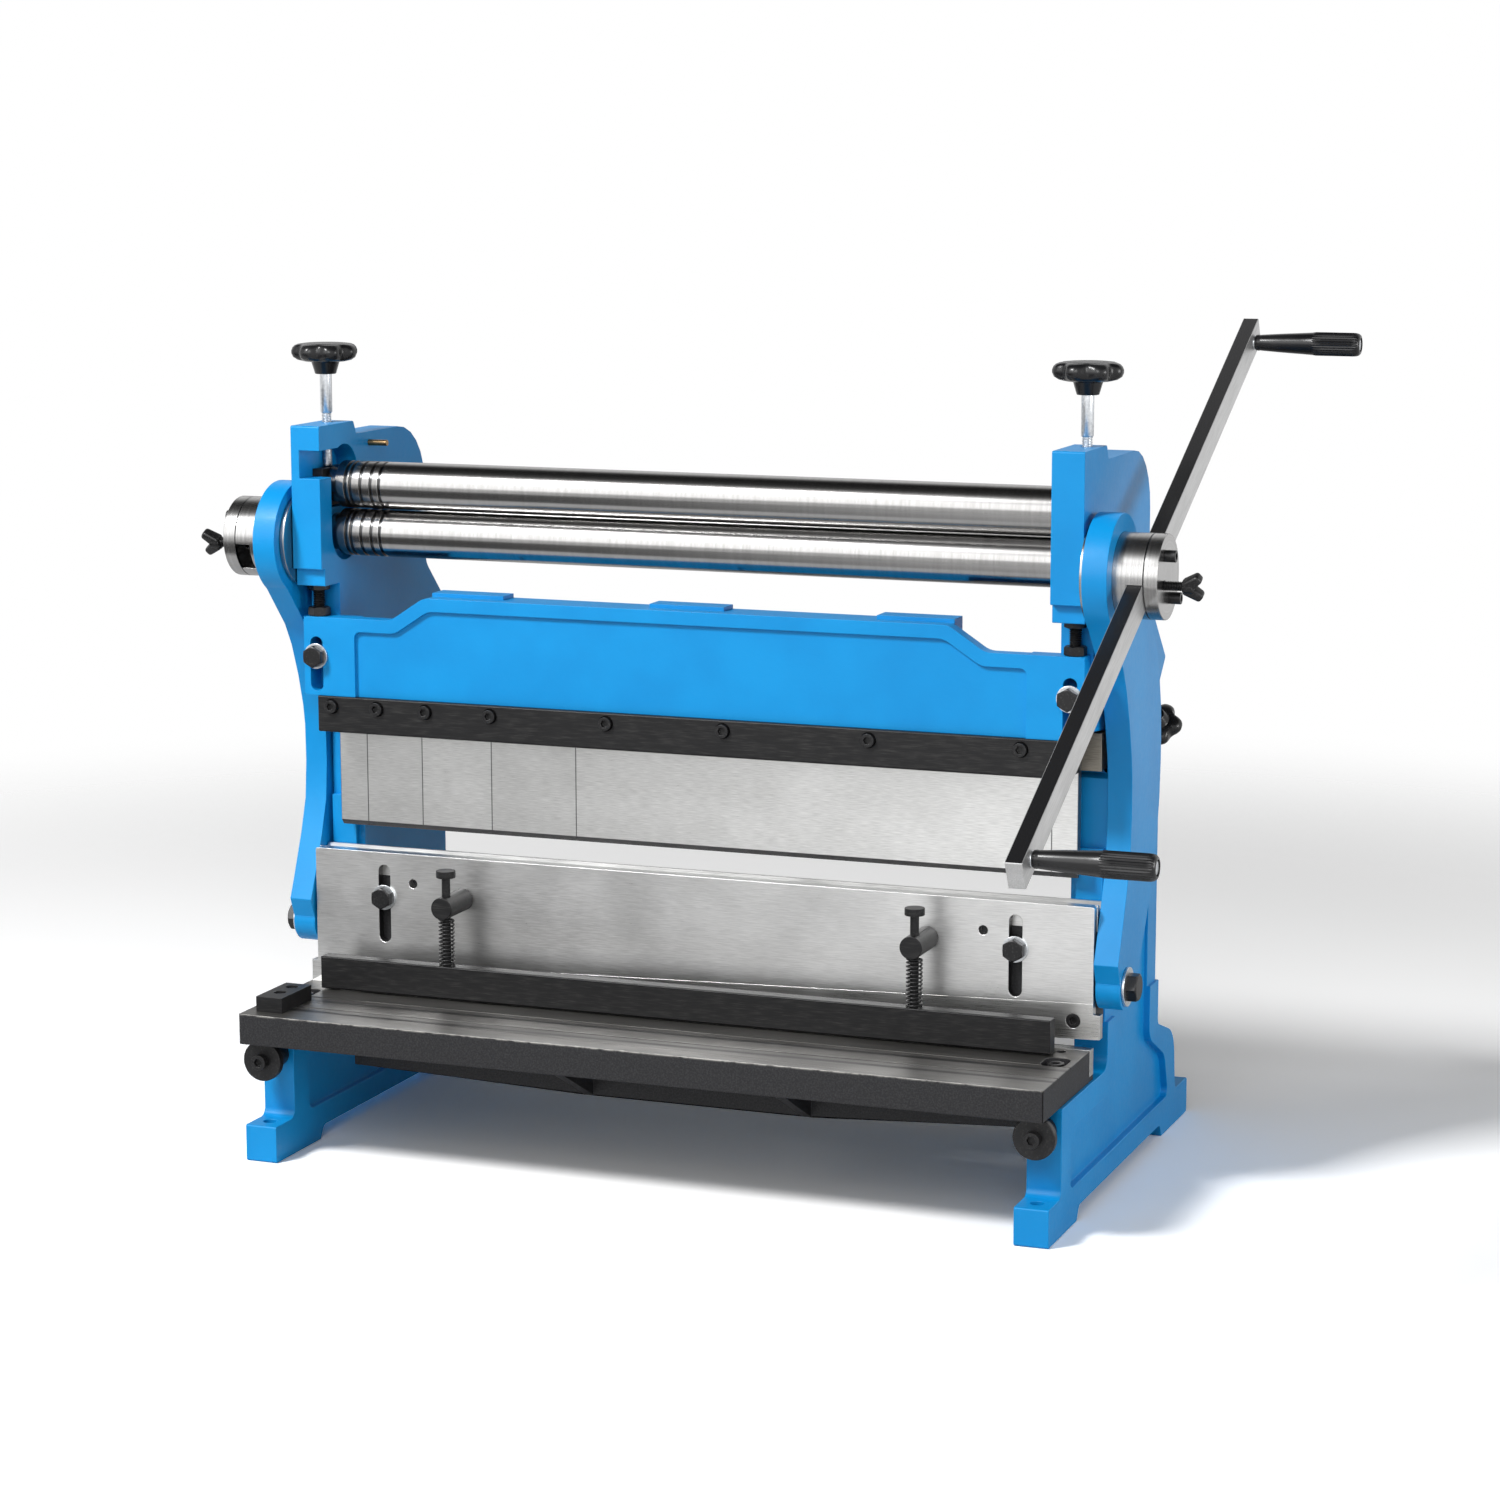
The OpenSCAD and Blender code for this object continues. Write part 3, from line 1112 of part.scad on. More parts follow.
// Grip: a turned taper from a narrow collar, knurled over its outer half
grip_shares = [[0.34, 0], [0.37, 0.02], [0.37, 0.05], [0.34, 0.06], [0.46, 0.45], [0.5, 0.55]];
knurl_shares = [0.56, 0.38];
knurl_count = 30;
knurl_depth = 0.7;
module grip() rotate([0, 90, 0]) difference() {
    rotate_extrude() polygon(concat([[stud_d / 2 + bore_gap, 0]],
        [for (s = grip_shares) [s[0] * grip_d, s[1] * grip_len]],
        [[grip_d / 2, grip_len - grip_edge], [grip_d / 2 - grip_edge, grip_len],
        [stud_collar_d / 2, grip_len], [stud_collar_d / 2, grip_len - grip_recess],
        [stud_d / 2 + bore_gap, grip_len - grip_recess]]));
    for (i = [0:knurl_count - 1])
        rotate(i * 360 / knurl_count) translate([grip_d / 2, 0, knurl_shares[0] * grip_len])
            rotate(45) translate([-knurl_depth, -knurl_depth, 0])
                cube([2 * knurl_depth, 2 * knurl_depth, knurl_shares[1] * grip_len]);
}
module upper_grip() color(black) along_bar(bar_x0 + bar_t + grip_gap) translate([0, grip_r, 0]) grip();
module lower_grip() color(black) along_bar(bar_x0 + bar_t + grip_gap) translate([0, -grip_r, 0]) grip();

// Lock screws that press the bar into its slot, each with a winged head
lock_d = 9;
lock_reach = 18;
wing_l = 20;
wing_r = 5.5;
wing_angle = 38;
module lock_screw() along_bar(hub_out + slide_gap) translate([0, -lock_r, 0]) rotate([0, 90, 0]) {
    cylinder(d = lock_d, h = cap_t + lock_reach + cut);
    translate([0, 0, cap_t + lock_reach]) {
        cylinder(r = lock_d * 0.8, h = wing_l * 0.55);
        for (s = [-1, 1]) rotate([0, s * wing_angle, 0]) translate([0, 0, wing_l * 0.2])
            cylinder(r = wing_r, h = wing_l * 0.8);
    }
}
module left_lock_screw() color(black) mirror([1, 0, 0]) lock_screw();
module right_lock_screw() color(black) lock_screw();

left_frame();
right_frame();
table();
bed_blade();
table_screws();
level_discs();
side_fence();
upper_beam();
beam_bolts();
beam_washers();
jack_bolts();
finger_clamp_bar();
clamp_screws();
finger(0);  // finger_1
finger(1);  // finger_2
finger(2);  // finger_3
finger(3);  // finger_4
finger(4);  // finger_5
finger(5);  // finger_6
finger_backing_bar();
rear_tie_bar();
roll_bushes();
stop_pins();
wear_strips();
left_hub();
right_hub();
hub_caps();
cap_screws();
crank_bar();
handle_studs();
upper_grip();
lower_grip();
left_lock_screw();
right_lock_screw();
left_rod();
right_rod();
press_beam();
vee_die();
front_plate();
plate_bolts();
press_washers();
shear_blade();
blade_screws();
hold_down_bosses();
rod_bolts();
hold_down_bar();
hold_down_bolts();
hold_down_springs();
lower_roll();
lower_gear();
upper_roll();
upper_gear();
roll_blocks();
left_pinch_knob();
right_pinch_knob();
rear_roll();
rear_blocks();
left_rear_knob();
right_rear_knob();
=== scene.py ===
from math import atan2, cos, hypot, pi, radians, sin, sqrt

import bmesh
import bpy
from mathutils import Matrix, Vector


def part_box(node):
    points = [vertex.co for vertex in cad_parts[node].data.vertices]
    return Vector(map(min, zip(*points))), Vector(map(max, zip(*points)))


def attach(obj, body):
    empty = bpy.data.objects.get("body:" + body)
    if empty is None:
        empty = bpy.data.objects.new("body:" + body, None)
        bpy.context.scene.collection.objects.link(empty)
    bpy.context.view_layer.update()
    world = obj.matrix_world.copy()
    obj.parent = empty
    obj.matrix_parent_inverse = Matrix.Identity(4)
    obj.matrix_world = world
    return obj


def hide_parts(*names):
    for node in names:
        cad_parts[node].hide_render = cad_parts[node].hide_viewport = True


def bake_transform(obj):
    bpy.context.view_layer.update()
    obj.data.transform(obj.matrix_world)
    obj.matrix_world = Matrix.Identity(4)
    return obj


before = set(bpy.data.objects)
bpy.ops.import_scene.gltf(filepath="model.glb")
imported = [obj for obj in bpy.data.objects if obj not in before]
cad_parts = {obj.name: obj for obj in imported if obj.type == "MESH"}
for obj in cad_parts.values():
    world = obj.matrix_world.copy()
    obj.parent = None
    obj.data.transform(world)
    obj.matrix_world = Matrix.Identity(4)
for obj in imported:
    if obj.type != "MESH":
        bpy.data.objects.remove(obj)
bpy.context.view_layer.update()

# Side frames: two heavy iron castings, ground on their feet and bored at the head,
# then sprayed with a thick blue machine enamel that softens every edge.
MM = 0.001
SAME_POINT = 0.005 * MM
JOINED_POINT = 0.01 * MM
FLAT_ANGLE = radians(0.6)
CASTING_EDGE = 0.7 * MM
MIX_LOW, MIX_HIGH, MIX_RESULT = 6, 7, 2
ENAMEL = (0.003, 0.285, 0.670)
ENAMEL_DEEP = (0.002, 0.250, 0.610)


class Wire:
    """An output of a shader node; arithmetic on it adds Math nodes to its material."""

    def __init__(self, tree, socket=None):
        self.tree = tree
        self.socket = socket

    def node(self, kind, inputs, out=0, **settings):
        """A new node: its settings first, then the values or the wires of its sockets."""
        made = self.tree.nodes.new(kind)
        for key, value in settings.items():
            setattr(made, key, value)
        for key, value in inputs.items():
            if isinstance(value, Wire):
                self.tree.links.new(value.socket, made.inputs[key])
            else:
                made.inputs[key].default_value = value
        return None if out is None else Wire(self.tree, made.outputs[out])

    def math(self, operation, *values):
        return self.node("ShaderNodeMath", dict(enumerate(values)), operation=operation)

    def __add__(self, other):
        return self.math("ADD", self, other)

    def __sub__(self, other):
        return self.math("SUBTRACT", self, other)

    def __rsub__(self, other):
        return self.math("SUBTRACT", other, self)

    def __mul__(self, other):
        return self.math("MULTIPLY", self, other)

    def __abs__(self):
        return self.math("ABSOLUTE", self)

    __radd__ = __add__
    __rmul__ = __mul__

    def axis(self, name):
        """One part of a place: X, Y or Z."""
        return self.node("ShaderNodeSeparateXYZ", {0: self}, out=name)

    def step(self, low, high):
        """A smooth step from 0 at low to 1 at high, both in the value's own unit."""
        ends = {"Value": self, "From Min": low, "From Max": high}
        return self.node("ShaderNodeMapRange", ends, interpolation_type="SMOOTHSTEP")

    def near(self, middle, core, edge):
        """1 within core of the middle, falling to 0 where the value is edge away from it."""
        return 1 - abs(self - middle).step(core, edge)

    def grain(self, size, stretch=(1, 1, 1), detail=2.0):
        """Noise over a place, in grains of this size, stretched along the axes."""
        scale = [1 / (size * part) for part in stretch]
        place = self.node("ShaderNodeMapping", {"Vector": self, "Scale": scale})
        inputs = {"Vector": place, "Scale": 1.0, "Detail": detail}
        return self.node("ShaderNodeTexNoise", inputs, out="Fac")

    def tint(self, low, high):
        """A colour between low at 0 and high at 1."""
        colours = [value if isinstance(value, Wire) else (*value, 1) for value in (low, high)]
        inputs = {0: self, MIX_LOW: colours[0], MIX_HIGH: colours[1]}
        return self.node("ShaderNodeMix", inputs, out=MIX_RESULT, data_type="RGBA")

    def relief(self, depth, strength):
        """A bumped normal from a height of 0 to 1 over this depth."""
        inputs = {"Height": self, "Distance": depth, "Strength": strength}
        return self.node("ShaderNodeBump", inputs, out="Normal")


def finish(name, look):
    """A material whose look gives the shader's sockets from the place on the object."""
    made = bpy.data.materials.new(name)
    made.use_nodes = True
    tree = made.node_tree
    shader = tree.nodes["Principled BSDF"]
    place = Wire(tree).node("ShaderNodeTexCoord", {}, out="Object")
    for socket, value in look(place).items():
        if isinstance(value, Wire):
            tree.links.new(value.socket, shader.inputs[socket])
        else:
            shader.inputs[socket].default_value = value
    return made


def blue_enamel(place):
    cast = place.grain(5 * MM, detail=3)
    skin = place.grain(0.9 * MM)
    cloud = place.grain(90 * MM, detail=3)
    return {
        "Base Color": cloud.step(0.3, 0.7).tint(ENAMEL_DEEP, ENAMEL),
        "Roughness": 0.34 + 0.12 * cast,
        "Specular IOR Level": 0.2,
        "Coat Weight": 0.08,
        "Coat Roughness": 0.12,
        "Normal": (0.7 * cast + 0.3 * skin).relief(0.5 * MM, 0.3),
    }


ENAMEL_BLUE = finish("blue_enamel", blue_enamel)


def even_shading():
    """Node group for loose CAD triangles: one smooth skin, without the imported normals."""
    group = bpy.data.node_groups.new("even_shading", "GeometryNodeTree")
    group.interface.new_socket("Geometry", in_out="INPUT", socket_type="NodeSocketGeometry")
    group.interface.new_socket("Geometry", in_out="OUTPUT", socket_type="NodeSocketGeometry")
    last = group.nodes.new("NodeGroupInput").outputs[0]
    drop = group.nodes.new("GeometryNodeRemoveAttribute")
    drop.inputs["Name"].default_value = "custom_normal"
    group.links.new(last, drop.inputs[0])
    last = drop.outputs[0]
    for domain in ("EDGE", "FACE"):
        smooth = group.nodes.new("GeometryNodeSetShadeSmooth")
        smooth.domain = domain
        smooth.inputs["Shade Smooth"].default_value = True
        group.links.new(last, smooth.inputs["Geometry"])
        last = smooth.outputs[0]
    group.links.new(last, group.nodes.new("NodeGroupOutput").inputs[0])
    return group


EVEN_SHADING = even_shading()


def round_edges(piece, width, sharp=28, segments=2):
    """Rounds the edges sharper than this angle and shades the faces flat between them."""
    edge = piece.modifiers.new("rounded edges", "BEVEL")
    edge.width = width
    edge.segments = segments
    edge.limit_method = "ANGLE"
    edge.angle_limit = radians(sharp)
    edge.use_clamp_overlap = False
    piece.modifiers.new("flat faces", "WEIGHTED_NORMAL").keep_sharp = False


def dress(node, material, width, sharp=28, segments=2, whole=True):
    """Gives a CAD node its material, joins its loose triangles and rounds its edges."""
    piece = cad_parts[node]
    for place in piece.material_slots:
        place.material = material
    piece.modifiers.new("joined triangles", "WELD").merge_threshold = JOINED_POINT
    if whole:
        faces = piece.modifiers.new("whole faces", "DECIMATE")
        faces.decimate_type = "DISSOLVE"
        faces.angle_limit = FLAT_ANGLE
    piece.modifiers.new("one skin", "NODES").node_group = EVEN_SHADING
    round_edges(piece, width, sharp, segments)


dress("left_frame", ENAMEL_BLUE, CASTING_EDGE)
dress("right_frame", ENAMEL_BLUE, CASTING_EDGE)

# Rear tie bar: a round steel bar with a screwed plate at each end, which holds the two
# side frames apart under the table. It is sprayed black.
BLACK_PAINT = (0.014, 0.014, 0.016)
BLACK_PAINT_DUSTY = (0.030, 0.030, 0.032)


def black_paint(place):
    cast = place.grain(2.2 * MM, detail=4)
    return {
        "Base Color": cast.step(0.35, 0.75).tint(BLACK_PAINT, BLACK_PAINT_DUSTY),
        "Roughness": 0.42 + 0.18 * cast,
        "Specular IOR Level": 0.3,
        "Normal": cast.relief(0.6 * MM, 0.5),
    }


PAINTED_BLACK = finish("black_paint", black_paint)
dress("rear_tie_bar", PAINTED_BLACK, 0.5 * MM, whole=False)

# Table: an iron casting painted black, with its top ground and blued by use. Two fine grooves
# run along the top with painted shade along them, and the front edge of the ground face is worn
# paler.
GROUND_TOP = (0.070, 0.067, 0.063)
GROUND_TOP_BRIGHT = (0.210, 0.204, 0.195)
WORN_EDGE = (0.20, 0.195, 0.185)
TABLE_GROOVES = (32.3 * MM, 72.8 * MM)
table_low, table_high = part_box("table")


def table_finish(place):
    height = place.axis("Z")
    top = height.step(table_high.z - 0.9 * MM, table_high.z - 0.2 * MM)
    front = 1 - place.axis("Y").step(table_low.y + 0.3 * MM, table_low.y + 1.6 * MM)
    lip = height.step(table_high.z - 2.4 * MM, table_high.z - 0.6 * MM)
    mill = place.grain(0.5 * MM, (160, 1, 1), 3)
    cloud = place.grain(45 * MM, (3, 1, 1), 4)
    cast = place.grain(1.6 * MM, detail=4)
    ground = (0.55 * mill + 0.45 * cloud).step(0.34, 0.68).tint(GROUND_TOP, GROUND_TOP_BRIGHT)
    paint = cast.step(0.35, 0.75).tint(BLACK_PAINT, BLACK_PAINT_DUSTY)
    worn = (front * lip) * place.grain(9 * MM).step(0.30, 0.62)
    # painted shade: the ground top is darkened in a band along each groove
    groove_band_shade = 0.0
    for reach in TABLE_GROOVES:
        groove_band_shade = place.axis("Y").near(table_low.y + reach, 2.0 * MM, 4.5 * MM) + groove_band_shade
    return {
        "Base Color": worn.tint((top * (1 - 0.8 * groove_band_shade)).tint(paint, ground), WORN_EDGE),
        "Metallic": top * 0.85,
        "Roughness": 0.46 - 0.12 * top + 0.1 * mill,
        "Specular IOR Level": 0.25,
        "Normal": (mill * top * 0.25 + cast * (1 - top)).relief(0.3 * MM, 0.6),
    }


dress("table", finish("table_casting", table_finish), 0.8 * MM, whole=False)

# Bed blade: a hardened tool steel strip let into the rear edge of the table and ground flush.
# The wheel leaves long fine scratches, which all the ground steel of the machine shares.
STEEL = (0.56, 0.56, 0.55)
STEEL_BRIGHT = (0.74, 0.74, 0.73)


def ground_steel(dark, bright, stretch, rough, size=0.35, depth=0.03):
    """Ground steel: fine scratches along one way, over slow clouds where the wheel dwelt."""

    def look(place):
        scratch = place.grain(size * MM, stretch, 3)
        cloud = place.grain(70 * MM, detail=2)
        return {
            "Base Color": (0.7 * scratch + 0.3 * cloud).step(0.3, 0.7).tint(dark, bright),
            "Metallic": 1.0,
            "Roughness": rough + 0.14 * (scratch - 0.5) + 0.1 * (cloud - 0.5),
            "Normal": scratch.relief(depth * MM, 0.5),
        }

    return look


BLADE_STEEL = finish("blade_steel", ground_steel(STEEL, STEEL_BRIGHT, (90, 1, 1), 0.30))
dress("bed_blade", BLADE_STEEL, 0.2 * MM)

# Side fence: a small block screwed on the left end of the table, square to the blade. Like all
# the plain bars of the machine it is blackened steel, rubbed a little along its length.
SCALE_BLACK_AND_SLOT_SHADE = (0.016, 0.016, 0.017)
SCALE_WORN = (0.055, 0.054, 0.052)


def blackened_steel(place):
    scratch = place.grain(0.5 * MM, (40, 1, 1), 3)
    spot = place.grain(3 * MM, (6, 1, 1), 4)
    return {
        "Base Color": (0.6 * scratch + 0.4 * spot).step(0.45, 0.8).tint(SCALE_BLACK_AND_SLOT_SHADE, SCALE_WORN),
        "Metallic": 0.5,
        "Roughness": 0.38 + 0.10 * spot,
        "Specular IOR Level": 0.3,
        "Normal": scratch.relief(0.06 * MM, 0.6),
    }


BLACKENED = finish("blackened_steel", blackened_steel)
dress("side_fence", BLACKENED, 0.6 * MM)

# Socket screws of the table, the fence and the discs, and the two level discs under the front
# corners: alloy steel with a thin black oxide, oiled.
OXIDE = (0.010, 0.010, 0.011)
OXIDE_RUBBED = (0.045, 0.044, 0.043)


def black_oxide(place):
    spot = place.grain(1.8 * MM, detail=3)
    return {
        "Base Color": spot.step(0.5, 0.85).tint(OXIDE, OXIDE_RUBBED),
        "Metallic": 0.4,
        "Roughness": 0.30 + 0.15 * spot,
        "Normal": spot.relief(0.05 * MM, 0.5),
    }


OXIDE_BLACK = finish("black_oxide", black_oxide)
SCREW_EDGE = 0.45 * MM
dress("table_screws", OXIDE_BLACK, SCREW_EDGE)
dress("level_discs", OXIDE_BLACK, 1.2 * MM, segments=3)

# Wear strips: steel strips screwed to the uprights for the press beam. They were sprayed with
# the frames, so they carry the same enamel.
dress("wear_strips", ENAMEL_BLUE, 0.3 * MM)

# Upper beam: a blue casting with a sunk face, which hangs between the frames on slotted lugs.
# Its edges are rounded less than those of the frames.
dress("upper_beam", ENAMEL_BLUE, 0.4 * MM, whole=False)

# Beam bolts: black hex bolts through the slots of the lugs. The head is turned to a cone of
# thirty degrees, so its six corners are cut back to a circle.
HEX_FLATS = 19 * MM
CHAMFER_SIDES = 36
CHAMFER_START = 0.475
CHAMFER_OUT, CHAMFER_UP = 0.5, 0.866
CRISP = radians(40)


def hex_prism(flats, height, ends):
    """A hexagon standing on the origin, its corners cut back at the top, or at both ends."""
    shape = bmesh.new()
    radius = flats / sqrt(3)
    bmesh.ops.create_cone(shape, cap_ends=True, segments=6, radius1=radius, radius2=radius,
                          depth=height)
    bmesh.ops.translate(shape, verts=shape.verts, vec=(0, 0, height / 2))
    for end in ends:
        for side in range(CHAMFER_SIDES):
            angle = 2 * pi * side / CHAMFER_SIDES
            out = Vector((cos(angle), sin(angle), 0))
            edge = out * flats * CHAMFER_START
            edge.z = height if end > 0 else 0
            tilt = out * CHAMFER_OUT + Vector((0, 0, end * CHAMFER_UP))
            geometry = shape.verts[:] + shape.edges[:] + shape.faces[:]
            cut = bmesh.ops.bisect_plane(shape, geom=geometry, plane_co=edge, plane_no=tilt,
                                         clear_outer=True)
            rim = [part for part in cut["geom_cut"] if isinstance(part, bmesh.types.BMEdge)]
            if len(rim) > 2:
                bmesh.ops.contextual_create(shape, geom=rim)
    return shape


def add(shape, part, turn=Matrix()):
    """Joins part, turned and placed by a matrix, to shape."""
    bmesh.ops.transform(part, matrix=turn, verts=part.verts)
    loose = bpy.data.meshes.new("part")
    part.to_mesh(loose)
    part.free()
    shape.from_mesh(loose)
    bpy.data.meshes.remove(loose)


def turned(profile, steps):
    """A solid turned about Z from a profile of (radius, height) that is closed or ends on Z."""
    shape = bmesh.new()
    points = [shape.verts.new((radius, 0, height)) for radius, height in profile]
    lines = [shape.edges.new(pair) for pair in zip(points, points[1:])]
    bmesh.ops.spin(shape, geom=points + lines, cent=(0, 0, 0), axis=(0, 0, 1), angle=2 * pi,
                   steps=steps, use_merge=True)
    bmesh.ops.remove_doubles(shape, verts=shape.verts, dist=SAME_POINT)
    return shape


THREAD_DEPTH = 0.6


def threaded(diameter, pitch, low, high, steps=20):
    """A screw thread about Z: the flanks of one turn, spun upwards, then stacked by the pitch."""
    turn = bmesh.new()
    crest = diameter / 2
    root = crest - THREAD_DEPTH * pitch
    profile = ((root, 0), (root, 0.1), (crest, 0.45), (crest, 0.55), (root, 0.9), (root, 1))
    points = [turn.verts.new((radius, 0, low + share * pitch)) for radius, share in profile]
    lines = [turn.edges.new(pair) for pair in zip(points, points[1:])]
    bmesh.ops.spin(turn, geom=points + lines, cent=(0, 0, 0), axis=(0, 0, 1), angle=2 * pi,
                   dvec=(0, 0, pitch / steps), steps=steps)
    mesh = bpy.data.meshes.new("turn")
    turn.to_mesh(mesh)
    turn.free()
    shape = bmesh.new()
    for _ in range(int((high - low) / pitch)):
        shape.from_mesh(mesh)
        mesh.transform(Matrix.Translation((0, 0, pitch)))
    bpy.data.meshes.remove(mesh)
    bmesh.ops.remove_doubles(shape, verts=shape.verts, dist=SAME_POINT)
    bmesh.ops.holes_fill(shape, edges=shape.edges)
    return shape


def piece_of(name, shape, material, slot, body, *nodes):
    """The finished shape as a piece that rides on a body and stands for its CAD nodes."""
    bmesh.ops.recalc_face_normals(shape, faces=shape.faces)
    for face in shape.faces:
        face.smooth = True
    for edge in shape.edges:
        edge.smooth = edge.calc_face_angle(0) < CRISP
    mesh = bpy.data.meshes.new(name)
    shape.to_mesh(mesh)
    shape.free()
    mesh.materials.append(material)
    made = bpy.data.objects.new(name, mesh)
    bpy.context.scene.collection.objects.link(made)
    if body:
        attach(made, body)
    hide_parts(*nodes)
    return made


def to_front(x, y, z):
    """Turns a part that points up so that it points to the front, at a place."""
    return Matrix.Translation((x, y, z)) @ Matrix.Rotation(radians(90), 4, "X")


def bolt(flats, head, shank, length):
    """A hex bolt with its head up and its washer face on the origin."""
    shape = hex_prism(flats, head, (1,))
    radius, inside = shank / 2, 0.2 * MM
    add(shape, turned([(0, -length), (radius, -length), (radius, inside), (0, inside)], 32))
    return shape


def front_bolts(name, node, head, body, shank=12 * MM):
    """A pair of hex bolts to the front, in the place of a CAD node that holds such a pair."""
    low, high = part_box(node)
    reach = high.x - HEX_FLATS / sqrt(3)
    pair = bmesh.new()
    for x in (-reach, reach):
        place = to_front(x, low.y + head, (low.z + high.z) / 2)
        add(pair, bolt(HEX_FLATS, head, shank, high.y - low.y - head), place)
    made = piece_of(name, pair, OXIDE_BLACK, "black_oxide", body, node)
    round_edges(made, 0.3 * MM)


BOLT_HEAD = 8 * MM
front_bolts("beam_bolt_pair", "beam_bolts", BOLT_HEAD, "frame")

# Washers: punched steel, zinc plated and scuffed by the bolts. The plate is a cold pale grey
# with a faint spangle in it.
ZINC = (0.52, 0.545, 0.57)
ZINC_PALE = (0.74, 0.76, 0.78)


def zinc_plate(place):
    spangle = place.grain(2.5 * MM, detail=3)
    turn = place.grain(0.25 * MM, (8, 8, 1), 2)
    return {
        "Base Color": (0.6 * spangle + 0.4 * turn).step(0.3, 0.7).tint(ZINC, ZINC_PALE),
        "Metallic": 1.0,
        "Roughness": 0.26 + 0.14 * spangle,
        "Normal": turn.relief(0.02 * MM, 0.5),
    }


ZINC_PLATE = finish("zinc_plate", zinc_plate)
dress("beam_washers", ZINC_PLATE, 0.4 * MM)

# Jack bolts: a black threaded stud and two hex nuts at each end of the upper beam, which set
# how far the fingers stand from the vee die.
low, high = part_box("jack_bolts")
nut_radius = HEX_FLATS / sqrt(3)
JACK_THREAD = 12 * MM
JACK_PITCH = 1.75 * MM
NUT_HEIGHT = 9 * MM
HEAD_HEIGHT = 6 * MM
HEAD_DROP = 17 * MM
jacks = bmesh.new()
step_low = high.z - HEAD_DROP
for x in (nut_radius - high.x, high.x - nut_radius):
    spot = Matrix.Translation((x, (low.y + high.y) / 2, 0))
    add(jacks, threaded(JACK_THREAD, JACK_PITCH, low.z + 1 * MM, high.z), spot)
    for height, foot in ((NUT_HEIGHT, low.z), (HEAD_HEIGHT, step_low - HEAD_HEIGHT)):
        lift = Matrix.Translation((0, 0, foot))
        add(jacks, hex_prism(HEX_FLATS, height, (1, -1)), spot @ lift)
jack_pair = piece_of("jack_bolt_pair", jacks, OXIDE_BLACK, "black_oxide", "frame", "jack_bolts")
round_edges(jack_pair, 0.2 * MM, 45, 1)

# Finger clamp bar with its eight socket screws: blackened flat steel that grips the fingers
# against the backing bar, a raw steel bar behind them.
dress("finger_clamp_bar", BLACKENED, 0.7 * MM)
dress("clamp_screws", OXIDE_BLACK, SCREW_EDGE)
RAW_STEEL = (0.15, 0.14, 0.115)
RAW_BRIGHT = (0.25, 0.23, 0.20)
BACKING_STEEL = finish("backing_steel", ground_steel(RAW_STEEL, RAW_BRIGHT, (30, 1, 1), 0.45))
dress("finger_backing_bar", BACKING_STEEL, 0.5 * MM)

# Fingers: six hardened steel blades side by side, surface ground along their width, with dark
# seams between them and a dark line where the tip is bevelled into the vee.
FINGER_STEEL = (0.62, 0.62, 0.61)
FINGER_BRIGHT = (0.84, 0.84, 0.83)
# painted light: each finger is made a little lighter or darker, as light falls on it
FINGER_PAINTED_LIGHT = (0.92, 0.96, 1.02, 0.97, 1.0, 1.0)
TIP_DARK = (0.075, 0.075, 0.078)
tip_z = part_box("finger_5")[0].z


def finger_finish(node, shade):
    """Ground steel of one finger, dark at its sides; shade is the painted light on this finger."""
    low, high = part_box(node)

    def look(place):
        from_left, from_right = place.axis("X") - low.x, high.x - place.axis("X")
        side = from_left.math("MINIMUM", from_left, from_right)
        seam = 1 - side.step(0.25 * MM, 0.6 * MM)
        scratch = place.grain(0.45 * MM, (26, 1, 1), 4)
        cloud = place.grain(60 * MM, detail=2)
        tip = 1 - place.axis("Z").step(tip_z + 5.2 * MM, tip_z + 5.6 * MM)
        dark = [part * shade for part in FINGER_STEEL]
        bright = [part * shade for part in FINGER_BRIGHT]
        steel = (0.75 * scratch + 0.25 * cloud).step(0.3, 0.7).tint(dark, bright)
        return {
            "Base Color": tip.math("MAXIMUM", tip, 0.8 * seam).tint(steel, TIP_DARK),
            "Metallic": 0.95,
            "Roughness": 0.31 + 0.14 * (scratch - 0.5),
            "Normal": scratch.relief(0.05 * MM, 0.5),
        }

    return look


for count, shade in enumerate(FINGER_PAINTED_LIGHT, 1):
    node = f"finger_{count}"
    dress(node, finish(f"finger_steel_{count}", finger_finish(node, shade)), 0.15 * MM, segments=1)

# Press beam: a black painted casting that slides on the wear strips, with the vee die screwed
# on top of it.
dress("press_beam", PAINTED_BLACK, 0.8 * MM)
DIE_STEEL = finish("die_steel", ground_steel(STEEL, STEEL_BRIGHT, (60, 1, 1), 0.33))
dress("vee_die", DIE_STEEL, 0.25 * MM)

# Front plate: bright drawn flat with slots and tapped holes, brushed along its length. The
# raked shear blade below it is harder and a little brighter.
PLATE_DARK = (0.58, 0.58, 0.575)
PLATE_BRIGHT = (0.75, 0.75, 0.745)
low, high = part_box("plate_bolts")
slot_x = high.x - HEX_FLATS / sqrt(3)
plate_low, plate_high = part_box("front_plate")


def plate_finish(place):
    """Ground steel, with painted shade inside the slots."""
    look = ground_steel(PLATE_DARK, PLATE_BRIGHT, (30, 1, 1), 0.32, 0.4, 0.012)(place)
    # painted shade: the walls of the slots are coloured black and not metallic
    beside = abs(place.axis("X")).near(slot_x, 8 * MM, 9 * MM)
    under = 1 - place.axis("Z").step(plate_high.z - 3 * MM, plate_high.z - 2 * MM)
    inside = beside * under * place.axis("Y").step(plate_low.y + 0.8 * MM, plate_low.y + 1.6 * MM)
    look["Base Color"] = inside.tint(look["Base Color"], SCALE_BLACK_AND_SLOT_SHADE)
    look["Metallic"] = 1 - inside
    return look


